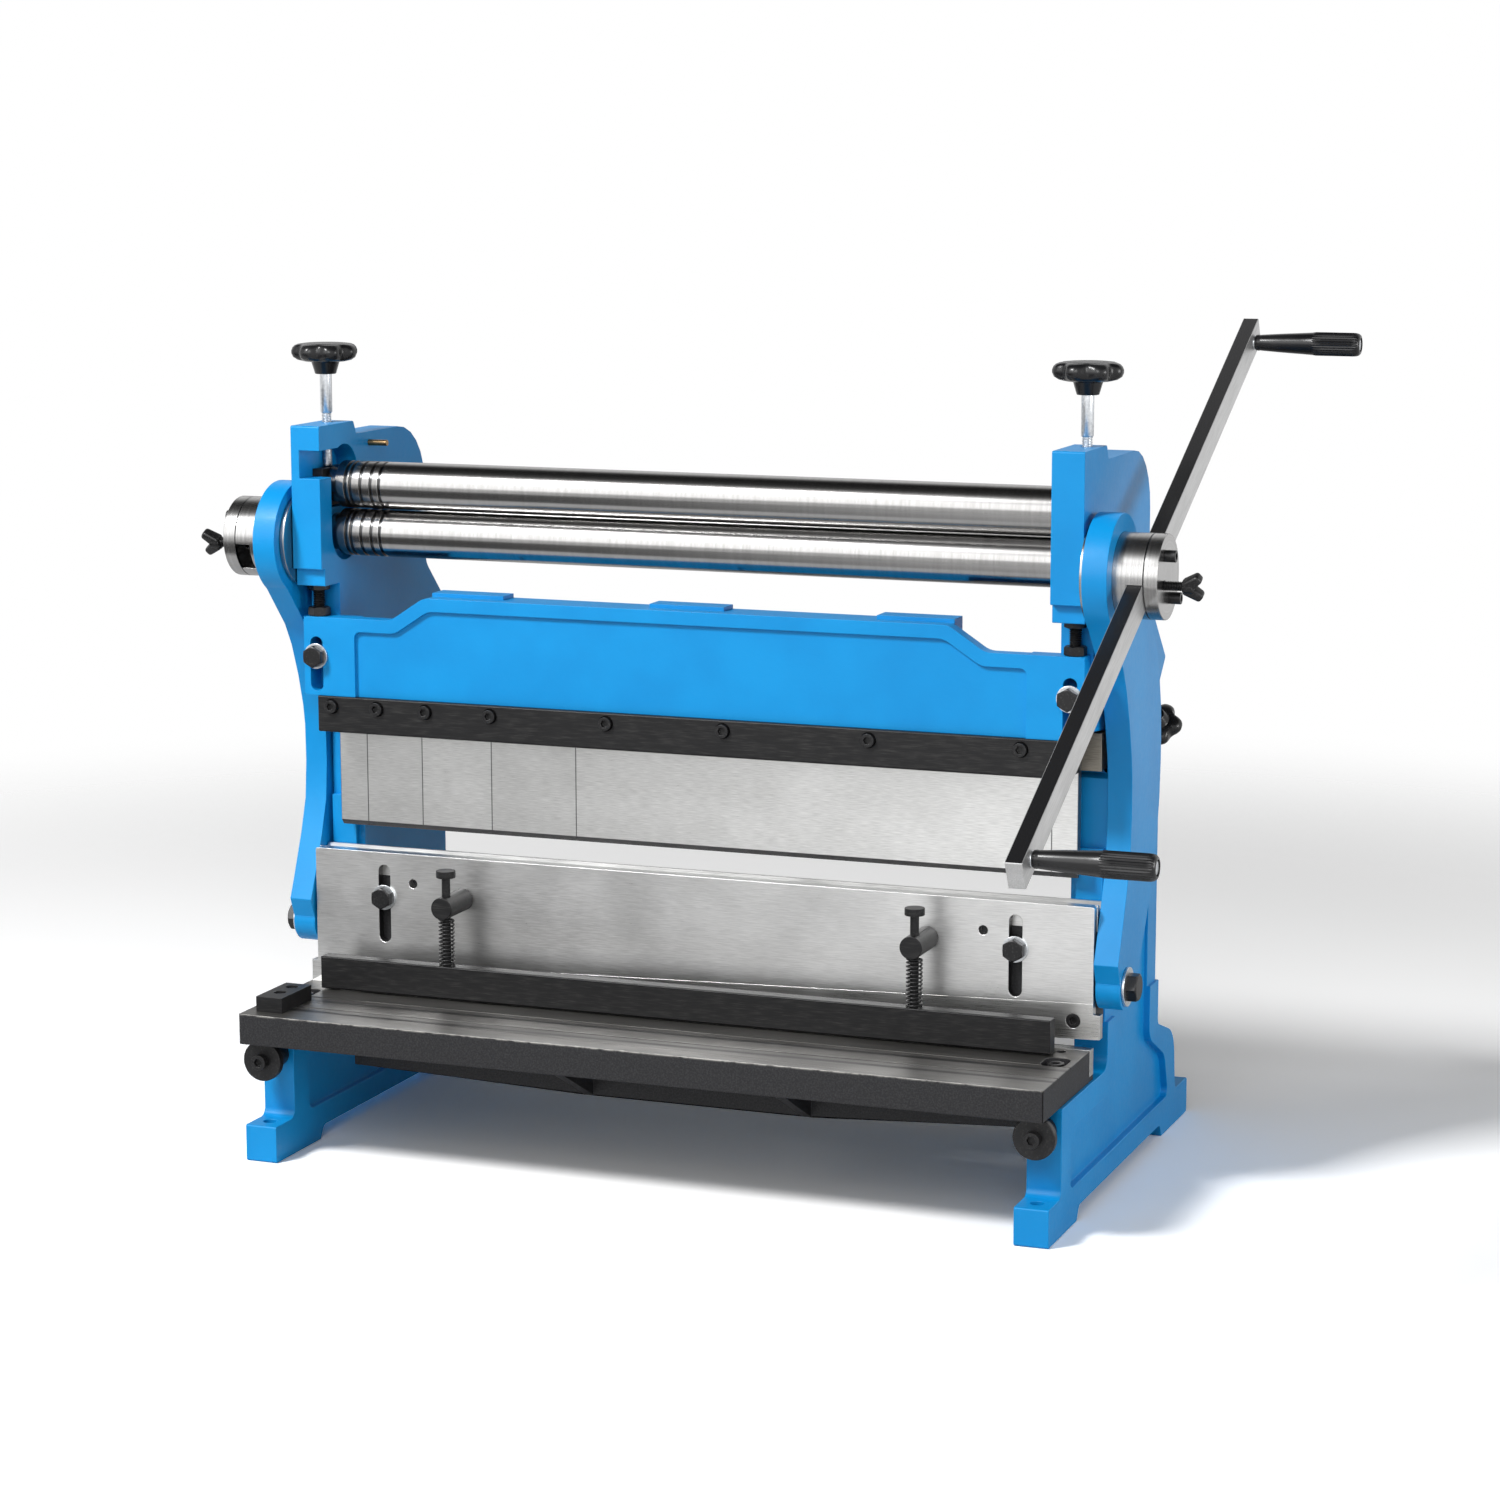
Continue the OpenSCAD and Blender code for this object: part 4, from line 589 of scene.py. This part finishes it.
dress("front_plate", finish("plate_steel", plate_finish), 0.5 * MM)
dress("shear_blade", BLADE_STEEL, 0.3 * MM)
dress("blade_screws", OXIDE_BLACK, SCREW_EDGE)
dress("press_washers", ZINC_PLATE, 0.4 * MM)
front_bolts("plate_bolt_pair", "plate_bolts", BOLT_HEAD, "press_beam")

# Rod bolts: the large hex bolts on which the feet of the rods turn, one at each end.
low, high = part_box("rod_bolts")
ROD_HEX_FLATS = 24 * MM
ROD_HEAD = 10 * MM
ROD_SHANK = 16 * MM
ROD_LENGTH = 46 * MM
rod_y, rod_z = (low.y + high.y) / 2, (low.z + high.z) / 2
rods = bmesh.new()
for side in (-1, 1):
    spot = Matrix.Translation((side * (high.x - ROD_HEAD), rod_y, rod_z))
    outwards = Matrix.Rotation(side * pi / 2, 4, "Y")
    add(rods, bolt(ROD_HEX_FLATS, ROD_HEAD, ROD_SHANK, ROD_LENGTH), spot @ outwards)
rod_pair = piece_of("rod_bolt_pair", rods, OXIDE_BLACK, "black_oxide", "press_beam", "rod_bolts")
round_edges(rod_pair, 0.3 * MM)

# Hold-down: two blackened bosses on the front plate guide two headed bolts, which carry the
# bar that holds the sheet on the table.
dress("hold_down_bosses", BLACKENED, 0.8 * MM)
dress("hold_down_bar", BLACKENED, 0.8 * MM)
dress("hold_down_bolts", BLACKENED, 0.6 * MM)

# Hold-down springs: music wire wound in thirteen turns, closed flat at both ends, black from
# the oil. One piece holds both.
SPRING_TURNS = 13
WIRE = 1.8 * MM
WIRE_SIDES = 10
TURN_STEPS = 28
low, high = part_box("hold_down_springs")
coil_radius = (high.y - low.y - WIRE) / 2
coil_x = high.x - coil_radius - WIRE / 2
coil_y = (low.y + high.y) / 2
rise = (high.z - low.z - WIRE) / ((SPRING_TURNS - 1) * TURN_STEPS)
springs = bmesh.new()
for x in (-coil_x, coil_x):
    coil = bmesh.new()
    bmesh.ops.create_circle(coil, cap_ends=True, segments=WIRE_SIDES, radius=WIRE / 2)
    bmesh.ops.rotate(coil, verts=coil.verts, matrix=Matrix.Rotation(pi / 2, 3, "X"))
    bmesh.ops.translate(coil, verts=coil.verts, vec=(coil_radius, 0, low.z + WIRE / 2))
    last = coil.verts[:] + coil.edges[:]
    for turns, lift in ((0.5, 0), (SPRING_TURNS - 1, rise), (0.5, 0)):
        wound = bmesh.ops.spin(coil, geom=last, cent=(0, 0, 0), axis=(0, 0, 1), dvec=(0, 0, lift),
                               angle=2 * pi * turns, steps=int(turns * TURN_STEPS))
        last = wound["geom_last"]
    rim = [part for part in last if isinstance(part, bmesh.types.BMEdge)]
    bmesh.ops.holes_fill(coil, edges=rim, sides=0)
    add(springs, coil, Matrix.Translation((x, coil_y, 0)))
spring_pair = piece_of("hold_down_spring_pair", springs, OXIDE_BLACK, "black_oxide", None,
                       "hold_down_springs")
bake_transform(spring_pair)

# Connecting rods: blue painted castings with a bored eye on the hub and a foot at the beam.
# The enamel is the same as on the frames.
dress("left_rod", ENAMEL_BLUE, CASTING_EDGE)
dress("right_rod", ENAMEL_BLUE, CASTING_EDGE)

# Rolls: solid bars turned and polished, with five wire grooves at the left end, where the
# surface has gone darker, and painted shade in the grooves. The lower roll runs through to the
# hubs.
ROLL_STEEL = (0.28, 0.276, 0.272)
ROLL_BRIGHT = (0.36, 0.356, 0.352)
ROLL_DARK_END = (0.15, 0.147, 0.145)
ROLL_GROOVE_SHADE = (0.05, 0.05, 0.05)
GROOVE_SHARES = (0.975, 0.96, 0.93, 0.90, 0.875)
GROOVE = 3 * MM
JOURNAL = 22.4 * MM
DARK_LENGTH = 45 * MM
roll_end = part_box("rear_roll")[0].x + JOURNAL
dark_end = roll_end + DARK_LENGTH


def turned_roll(place):
    ring = place.grain(0.30 * MM, (1, 60, 60), 3)
    band = place.grain(3.5 * MM, (1, 30, 30), 2)
    end = 1 - place.axis("X").step(dark_end - 1 * MM, dark_end + 1 * MM)
    # painted shade: each wire groove is coloured near black
    roll_groove_shade = 0.0
    for share in GROOVE_SHARES:
        middle = roll_end * share + GROOVE / 2
        roll_groove_shade = place.axis("X").near(middle, 0.4 * GROOVE, 0.6 * GROOVE) + roll_groove_shade
    steel = (0.6 * ring + 0.4 * band).step(0.3, 0.7).tint(ROLL_STEEL, ROLL_BRIGHT)
    steel = (end * (0.35 + 0.65 * band)).tint(steel, ROLL_DARK_END)
    return {
        "Base Color": roll_groove_shade.tint(steel, ROLL_GROOVE_SHADE),
        "Metallic": 1.0,
        "Roughness": 0.17 + 0.04 * ring + 0.10 * end * band,
        "Normal": ring.relief(0.004 * MM, 0.5),
    }


ROLL_POLISH = finish("roll_polish", turned_roll)
for node in ("lower_roll", "upper_roll", "rear_roll"):
    dress(node, ROLL_POLISH, 0.35 * MM)

# Roll gears, sliding blocks, bushes and stop pins: small parts inside the heads. The gears are
# oiled steel, the blocks are blackened, and the bushes and pins are bronze.
GEAR_OILED = (0.10, 0.10, 0.10)
GEAR_BRIGHT = (0.22, 0.22, 0.215)
BRONZE_DARK = (0.20, 0.12, 0.055)
BRONZE_BRIGHT = (0.42, 0.29, 0.15)
GEAR_STEEL = finish("gear_steel", ground_steel(GEAR_OILED, GEAR_BRIGHT, (1, 30, 30), 0.35))
dress("lower_gear", GEAR_STEEL, 0.2 * MM)
dress("upper_gear", GEAR_STEEL, 0.2 * MM)
dress("roll_blocks", BLACKENED, 0.4 * MM)
dress("rear_blocks", BLACKENED, 0.4 * MM)


def bronze(place):
    ring = place.grain(0.4 * MM, (1, 40, 40), 3)
    spot = place.grain(5 * MM, detail=3)
    return {
        "Base Color": (0.5 * ring + 0.5 * spot).step(0.3, 0.7).tint(BRONZE_DARK, BRONZE_BRIGHT),
        "Metallic": 1.0,
        "Roughness": 0.32 + 0.15 * spot,
        "Normal": ring.relief(0.03 * MM, 0.5),
    }


BRONZE = finish("bronze", bronze)
dress("roll_bushes", BRONZE, 0.3 * MM)
dress("stop_pins", BRONZE, 0.4 * MM)

# Hubs and caps: turned steel eccentrics on the ends of the lower roll, slotted for the crank
# bar. The lathe leaves rings on the rims and circles on the faces.
HUB_STEEL = (0.27, 0.267, 0.264)
HUB_BRIGHT = (0.42, 0.417, 0.413)
SEAM_DARK = (0.02, 0.02, 0.02)
CAP_THICK = 13 * MM
low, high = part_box("hub_caps")
hub_y, hub_z = (low.y + high.y) / 2, (low.z + high.z) / 2
cap_seam = high.x - CAP_THICK


def turned_hub(place):
    across = place.axis("Y") - hub_y
    up = place.axis("Z") - hub_z
    square = across * across + up * up
    radius = square.math("SQRT", square)
    spread = place.node("ShaderNodeCombineXYZ", {"X": place.axis("X"), "Y": radius, "Z": 0.0})
    ring = spread.grain(0.22 * MM, detail=3)
    band = spread.grain(2.8 * MM, detail=2)
    seam = abs(place.axis("X")).near(cap_seam, 0.3 * MM, 0.9 * MM) * radius.step(34 * MM, 38 * MM)
    steel = (0.6 * ring + 0.4 * band).step(0.3, 0.7).tint(HUB_STEEL, HUB_BRIGHT)
    return {
        "Base Color": seam.tint(steel, SEAM_DARK),
        "Metallic": 1.0,
        "Roughness": 0.2 + 0.06 * ring + 0.04 * band,
        "Normal": ring.relief(0.006 * MM, 0.5),
    }


HUB_TURNED = finish("hub_turned", turned_hub)
for node in ("left_hub", "right_hub", "hub_caps"):
    dress(node, HUB_TURNED, 0.6 * MM)
dress("cap_screws", OXIDE_BLACK, SCREW_EDGE)

# Lock screws: black threaded screws with a cast head of two blunt wings on a short neck, which
# press the crank bar into its slot.
LOCK_THREAD = 9 * MM
LOCK_PITCH = 1.5 * MM
LOCK_HEAD = 20 * MM
COLLAR = ((0, -1), (4.2, -1), (6.4, 0), (7.2, 3), (7.0, 9), (4.5, 11), (0, 11))
WING = (11.5 * MM, 13 * MM, 18 * MM)
WING_TAPER = (0.72, 0.82, 1)
WING_ROUND = 2.8 * MM
WING_ANGLE = radians(36)
BAR_ANGLE = radians(26.8)
for side in (-1, 1):
    node = "right_lock_screw" if side > 0 else "left_lock_screw"
    low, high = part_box(node)
    tip = max(abs(low.x), abs(high.x))
    root = min(abs(low.x), abs(high.x))
    neck = tip - LOCK_HEAD - root
    screw = threaded(LOCK_THREAD, LOCK_PITCH, 0.1 * MM, neck)
    collar = [(radius * MM, neck + height * MM) for radius, height in COLLAR]
    add(screw, turned(collar, 40))
    for lean in (-WING_ANGLE, WING_ANGLE):
        wing = bmesh.new()
        bmesh.ops.create_cube(wing, size=1)
        bmesh.ops.scale(wing, vec=WING, verts=wing.verts)
        upper = [point for point in wing.verts if point.co.z > 0]
        bmesh.ops.scale(wing, vec=WING_TAPER, verts=upper)
        bmesh.ops.bevel(wing, geom=wing.edges[:], offset=WING_ROUND, segments=4, profile=0.5,
                        affect="EDGES", material=-1)
        bmesh.ops.translate(wing, verts=wing.verts, vec=(0, 0, WING[2] / 2 + 0.5 * MM))
        foot = Matrix.Translation((0, 0, neck + 1.5 * MM))
        add(screw, wing, foot @ Matrix.Rotation(lean, 4, "Y"))
    place = Matrix.Translation((side * root, (low.y + high.y) / 2, (low.z + high.z) / 2))
    outwards = Matrix.Rotation(BAR_ANGLE, 4, "X") @ Matrix.Rotation(side * pi / 2, 4, "Y")
    shape = bmesh.new()
    add(shape, screw, place @ outwards)
    name = node.replace("screw", "wing_screw")
    piece_of(name, shape, OXIDE_BLACK, "black_oxide", node, node)

# Crank bar: cold drawn flat. Its narrow faces are painted black, and the wide faces and the
# sawn ends are brushed bright.
BAR_STEEL = (0.40, 0.40, 0.40)
BAR_BRIGHT = (0.60, 0.60, 0.60)
GLOSS_BLACK = (0.012, 0.012, 0.013)
low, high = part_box("crank_bar")
bar_middle = (low + high) / 2
BAR_HALF_LENGTH = 440 * MM
bar_half_width = (high.x - low.x) / 2


def crank_finish(place):
    aside = abs(place.axis("X") - bar_middle.x)
    wide = aside.step(bar_half_width - 0.7 * MM, bar_half_width - 0.3 * MM)
    back, up = place.axis("Y") - bar_middle.y, place.axis("Z") - bar_middle.z
    along = abs(back * cos(BAR_ANGLE) + up * sin(BAR_ANGLE))
    end = along.step(BAR_HALF_LENGTH - 0.7 * MM, BAR_HALF_LENGTH - 0.3 * MM)
    bare = wide.math("MAXIMUM", wide, end)
    turn = place.node("ShaderNodeMapping", {"Vector": place, "Rotation": (-BAR_ANGLE, 0.0, 0.0)})
    scratch = turn.grain(0.5 * MM, (1, 40, 1), 4)
    cloud = turn.grain(30 * MM, (1, 4, 1), 3)
    steel = (0.6 * scratch + 0.4 * cloud).step(0.3, 0.7).tint(BAR_STEEL, BAR_BRIGHT)
    return {
        "Base Color": bare.tint(GLOSS_BLACK, steel),
        "Metallic": bare * 0.95,
        "Roughness": 0.2 + bare * (0.14 + 0.14 * scratch) + 0.05 * cloud,
        "Normal": (bare * scratch).relief(0.05 * MM, 0.5),
    }


dress("crank_bar", finish("crank_bar", crank_finish), 0.5 * MM)
dress("handle_studs", ZINC_PLATE, 0.4 * MM)

# Hand grips: black moulded plastic that turns on its stud. The outer half is fluted for the
# fingers, and the end is rounded over.
GRIP_FLUTES = 28
GRIP_STEPS = 168
FLUTE_DEPTH = 0.65 * MM
FLUTE_LOW, FLUTE_HIGH = 0.56, 0.96
PLASTIC = (0.007, 0.007, 0.008)
PLASTIC_SHEEN = (0.014, 0.014, 0.015)


def moulded_plastic(place):
    skin = place.grain(0.8 * MM, detail=2)
    cloud = place.grain(40 * MM, detail=2)
    return {
        "Base Color": cloud.step(0.35, 0.7).tint(PLASTIC, PLASTIC_SHEEN),
        "Roughness": 0.22 + 0.06 * cloud,
        "Specular IOR Level": 0.35,
        "Normal": skin.relief(0.02 * MM, 0.4),
    }


MOULDED = finish("moulded_plastic", moulded_plastic)
STUD_RADIUS = 4.2 * MM
GRIP_RECESS = 4 * MM
GRIP_FOOT = ((0.60, 0), (0.66, 0.6 * MM), (0.69, 3 * MM), (0.66, 4.5 * MM), (0.68, 6 * MM))
GRIP_BODY = ((0.80, 0.25), (0.90, 0.45), (0.955, 0.545), (0.97, 0.555), (1, 0.575), (1, 0.65),
             (1, 0.75), (1, 0.85), (1, 0.925), (0.985, 0.955), (0.93, 0.98), (0.80, 0.996),
             (0.66, 1), (0.60, 1))
for name in ("upper_grip", "lower_grip"):
    low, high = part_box(name)
    length = high.x - low.x
    radius = (high.z - low.z) / 2
    floor = length - GRIP_RECESS
    profile = [(STUD_RADIUS, 0)]
    profile += [(part * radius, height) for part, height in GRIP_FOOT]
    profile += [(part * radius, share * length) for part, share in GRIP_BODY]
    profile += [(0.58 * radius, floor), (STUD_RADIUS, floor), (STUD_RADIUS, 0)]
    grip = turned(profile, GRIP_STEPS)
    for point in grip.verts:
        share = point.co.z / length
        if FLUTE_LOW < share < FLUTE_HIGH and hypot(point.co.x, point.co.y) > 0.9 * radius:
            wave = 0.5 - 0.5 * cos(GRIP_FLUTES * atan2(point.co.y, point.co.x))
            point.co.xy *= 1 - FLUTE_DEPTH / radius * wave
    place = Matrix.Translation((low.x, (low.y + high.y) / 2, (low.z + high.z) / 2))
    shape = bmesh.new()
    add(shape, grip, place @ Matrix.Rotation(pi / 2, 4, "Y"))
    piece_of(f"{name}_moulding", shape, MOULDED, "black_plastic", name, name)

# Pinch screws: zinc plated screws in the tops of the heads, with seven-lobed plastic knobs.
# The shank is thicker above the thread.
KNOB_STEPS = 140
KNOB_DISC = ((0.82, 0.10), (0.95, 0.25), (1, 0.45), (1, 0.60), (0.965, 0.76), (0.90, 0.88),
             (0.80, 0.95), (0.70, 0.97), (0.68, 0.955), (0.64, 0.955), (0.62, 0.985), (0.30, 1),
             (0, 1))
LOBE_START, LOBE_REACH = 0.68, 0.3
LOBE_SHAPE = 1.6


def star_knob(lobes, radius, low, height, hub_low, hub_radius, notch=0.17):
    """A moulded knob about Z: a turned disc on a tapered hub, pinched in between its lobes."""
    profile = [(0, hub_low), (0.82 * hub_radius, hub_low), (0.86 * hub_radius, hub_low + 0.4 * MM),
               (1.12 * hub_radius, low - 1.0 * MM), (1.2 * hub_radius, low),
               (0.62 * radius, low + 0.3 * MM)]
    profile += [(part * radius, low + share * height) for part, share in KNOB_DISC]
    shape = turned(profile, KNOB_STEPS)
    for point in shape.verts:
        share = min(max((point.co.xy.length / radius - LOBE_START) / LOBE_REACH, 0), 1)
        wave = (0.5 - 0.5 * cos(lobes * atan2(point.co.y, point.co.x))) ** LOBE_SHAPE
        point.co.xy *= 1 - notch * share * wave
    return shape


SHANK = 11.5 * MM
SCREW = 10 * MM
SCREW_PITCH = 1.5 * MM
PINCH_DISC = 18 * MM
PINCH_HUB = 12 * MM
PINCH_HUB_RADIUS = 12 * MM
SHANK_REACH = 9 * MM
head_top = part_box("right_frame")[1].z
for side in ("left", "right"):
    node = f"{side}_pinch_knob"
    low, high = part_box(node)
    axis = Matrix.Translation(((low.x + high.x) / 2, (low.y + high.y) / 2, 0))
    knob_low = high.z - PINCH_DISC
    hub_low = knob_low - PINCH_HUB
    shape = bmesh.new()
    star = star_knob(7, (high.x - low.x) / 2, knob_low, PINCH_DISC, hub_low, PINCH_HUB_RADIUS)
    add(shape, star, axis)
    piece_of(f"{side}_pinch_star", shape, MOULDED, "black_plastic", node, node)
    shank_low, shank_high = head_top + SHANK_REACH, hub_low + 1 * MM
    screw = threaded(SCREW, SCREW_PITCH, low.z + 0.2 * MM, shank_low + 0.5 * MM)
    shank = [(0, shank_low), (SHANK / 2 - 0.8 * MM, shank_low), (SHANK / 2, shank_low + 1.0 * MM),
             (SHANK / 2, shank_high), (0, shank_high)]
    add(screw, turned(shank, 40))
    shape = bmesh.new()
    add(shape, screw, axis)
    piece_of(f"{side}_pinch_screw", shape, ZINC_PLATE, "zinc", node, node)

# Rear adjusting screws: long screws up a slope of forty-five degrees, each with a five-lobed
# knob at its lower end, which lift the rear roll.
REAR_KNOB = 15 * MM
REAR_HUB = 9 * MM
REAR_HUB_RADIUS = 10 * MM
REAR_RADIUS = 24 * MM
REAR_NOTCH = 0.24
SCREW_START = 20.5 * MM
SLOPE = radians(225)
rear_low, rear_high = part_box("rear_roll")
rear_y, rear_z = (rear_low.y + rear_high.y) / 2, (rear_low.z + rear_high.z) / 2
for side in ("left", "right"):
    node = f"{side}_rear_knob"
    low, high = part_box(node)
    middle = Matrix.Translation(((low.x + high.x) / 2, rear_y, rear_z))
    slope = middle @ Matrix.Rotation(SLOPE, 4, "X")
    reach = (rear_z - low.z) * sqrt(2) - REAR_RADIUS - REAR_KNOB
    hub_low = reach - REAR_HUB
    shape = bmesh.new()
    star = star_knob(5, REAR_RADIUS, reach, REAR_KNOB, hub_low, REAR_HUB_RADIUS, REAR_NOTCH)
    add(shape, star, slope)
    piece_of(f"{side}_rear_star", shape, MOULDED, "black_plastic", node, node)
    shape = bmesh.new()
    add(shape, threaded(SCREW, SCREW_PITCH, SCREW_START, hub_low + 1 * MM, 16), slope)
    piece_of(f"{side}_rear_screw", shape, ZINC_PLATE, "zinc", node, node)

# Studio: a pale floor that fades into a white background, and three soft lamps. The cards are
# seen in the steel alone and give it its streaks: one in front is bright, the others are dark.
# The camera stands where the photograph was taken.
FLOOR_REACH = 3.2
FLOOR_Z = -0.3 * MM
PAPER = 0.8
PAPER_GAIN = 0.42
SKY = 0.12
FADE_START = 1.2
stage_scene = bpy.context.scene.collection


def rays_of(wire, *names):
    """1 for a ray of one of these kinds, 0 for any other."""
    seen = 0.0
    for name in names:
        kind = wire.node("ShaderNodeLightPath", {}, out=f"Is {name} Ray")
        seen = kind.math("MAXIMUM", kind, seen)
    return seen


def staged(name, low, high, surface):
    """A level or upright sheet between two corners; surface gives its shader from the place."""
    right = (high[0], low[1], low[2])
    left = (low[0], low[1] if high[2] > low[2] else high[1], high[2])
    shape = bmesh.new()
    shape.faces.new([shape.verts.new(corner) for corner in (low, right, high, left)])
    mesh = bpy.data.meshes.new(name)
    shape.to_mesh(mesh)
    shape.free()
    made = bpy.data.objects.new(name, mesh)
    stage_scene.objects.link(made)
    paint = bpy.data.materials.new(name)
    paint.use_nodes = True
    tree = paint.node_tree
    tree.nodes.clear()
    wire = Wire(tree)
    place = wire.node("ShaderNodeTexCoord", {}, out="Object")
    wire.node("ShaderNodeOutputMaterial", {"Surface": surface(wire, place)}, out=None)
    mesh.materials.append(paint)
    return made


def floor_paper(wire, place):
    radius = place.node("ShaderNodeVectorMath", {0: place}, out="Value", operation="LENGTH")
    seen = rays_of(wire, "Camera")
    paper = wire.node("ShaderNodeBsdfDiffuse", {"Color": PAPER + PAPER_GAIN * seen})
    clear = wire.node("ShaderNodeBsdfTransparent", {})
    fade = radius.step(FADE_START, 0.8 * FLOOR_REACH)
    return wire.node("ShaderNodeMixShader", {0: fade, 1: paper, 2: clear})


def card(name, low, high, shade, cover):
    """A card of this shade that only steel reflects; cover gives how solid it is at a place."""

    def surface(wire, place):
        dark = wire.node("ShaderNodeEmission", {"Color": (shade, shade, shade, 1)})
        clear = wire.node("ShaderNodeBsdfTransparent", {})
        return wire.node("ShaderNodeMixShader", {0: cover(place), 1: clear, 2: dark})

    made = staged(name, low, high, surface)
    for kind in ("camera", "diffuse", "transmission", "volume_scatter", "shadow"):
        setattr(made, f"visible_{kind}", False)


staged("studio_floor", (-FLOOR_REACH, -FLOOR_REACH, FLOOR_Z), (FLOOR_REACH, FLOOR_REACH, FLOOR_Z),
       floor_paper)
card("overhead_card", (-3, -2.6, 2.6), (3, 2.6, 2.6), 0.02,
     lambda place: place.axis("Y").near(0, 0.7, 2.4))
card("rear_card", (-4, 3, 0), (1, 3, 1.6), 0.2,
     lambda place: (1 - place.axis("Z").step(0.9, 1.6)) * (1 - place.axis("X").step(0.3, 1.0)))
card("left_card", (-3, -2.8, 0.01), (0.6, -0.6, 0.01), 0.12,
     lambda place: 1 - (place.axis("X") - 0.4 * place.axis("Y")).step(-0.35, 0.75))
card("front_card", (-5, -4.2, 0.75), (3, -4.2, 3.6), 3.0,
     lambda place: place.axis("Z").step(0.8, 1.0) * (1 - place.axis("Z").step(2.8, 3.6)))

world = bpy.data.worlds.new("studio_world")
bpy.context.scene.world = world
world.use_nodes = True
wire = Wire(world.node_tree)
seen = rays_of(wire, "Camera", "Glossy", "Transmission")
backdrop = world.node_tree.nodes["Background"]
backdrop.inputs["Color"].default_value = (1, 1, 1, 1)
world.node_tree.links.new((SKY + (1 - SKY) * seen).socket, backdrop.inputs["Strength"])


def softbox(name, place, aim, size, power):
    """A large rectangular lamp at a place, facing another."""
    lamp = bpy.data.lights.new(name, "AREA")
    lamp.shape = "RECTANGLE"
    lamp.size, lamp.size_y = size
    lamp.energy = power
    made = bpy.data.objects.new(name, lamp)
    stage_scene.objects.link(made)
    made.location = place
    made.rotation_euler = (Vector(aim) - Vector(place)).to_track_quat("-Z", "Y").to_euler()


softbox("key", (-1.5, -2.3, 3.0), (0, 0, 0.3), (0.8, 0.8), 150)
softbox("front", (1.0, -3.6, 2.4), (0, 0, 0.4), (1.6, 1.6), 38)
softbox("right", (2.8, -0.3, 0.95), (0, 0, 0.5), (1.0, 1.0), 27)

CAMERA_TILT = radians(80.29)
CAMERA_TURN = radians(20.57)
camera = bpy.data.objects.new("camera", bpy.data.cameras.new("camera"))
stage_scene.objects.link(camera)
camera.location = (1.29337, -3.29056, 1.00367)
camera.rotation_euler = (CAMERA_TILT, 0, CAMERA_TURN)
camera.data.sensor_width = 36
camera.data.lens = 88.12
camera.data.shift_x = -0.02184
camera.data.shift_y = -0.00667
bpy.context.scene.camera = camera
bpy.context.scene.view_settings.view_transform = "Standard"
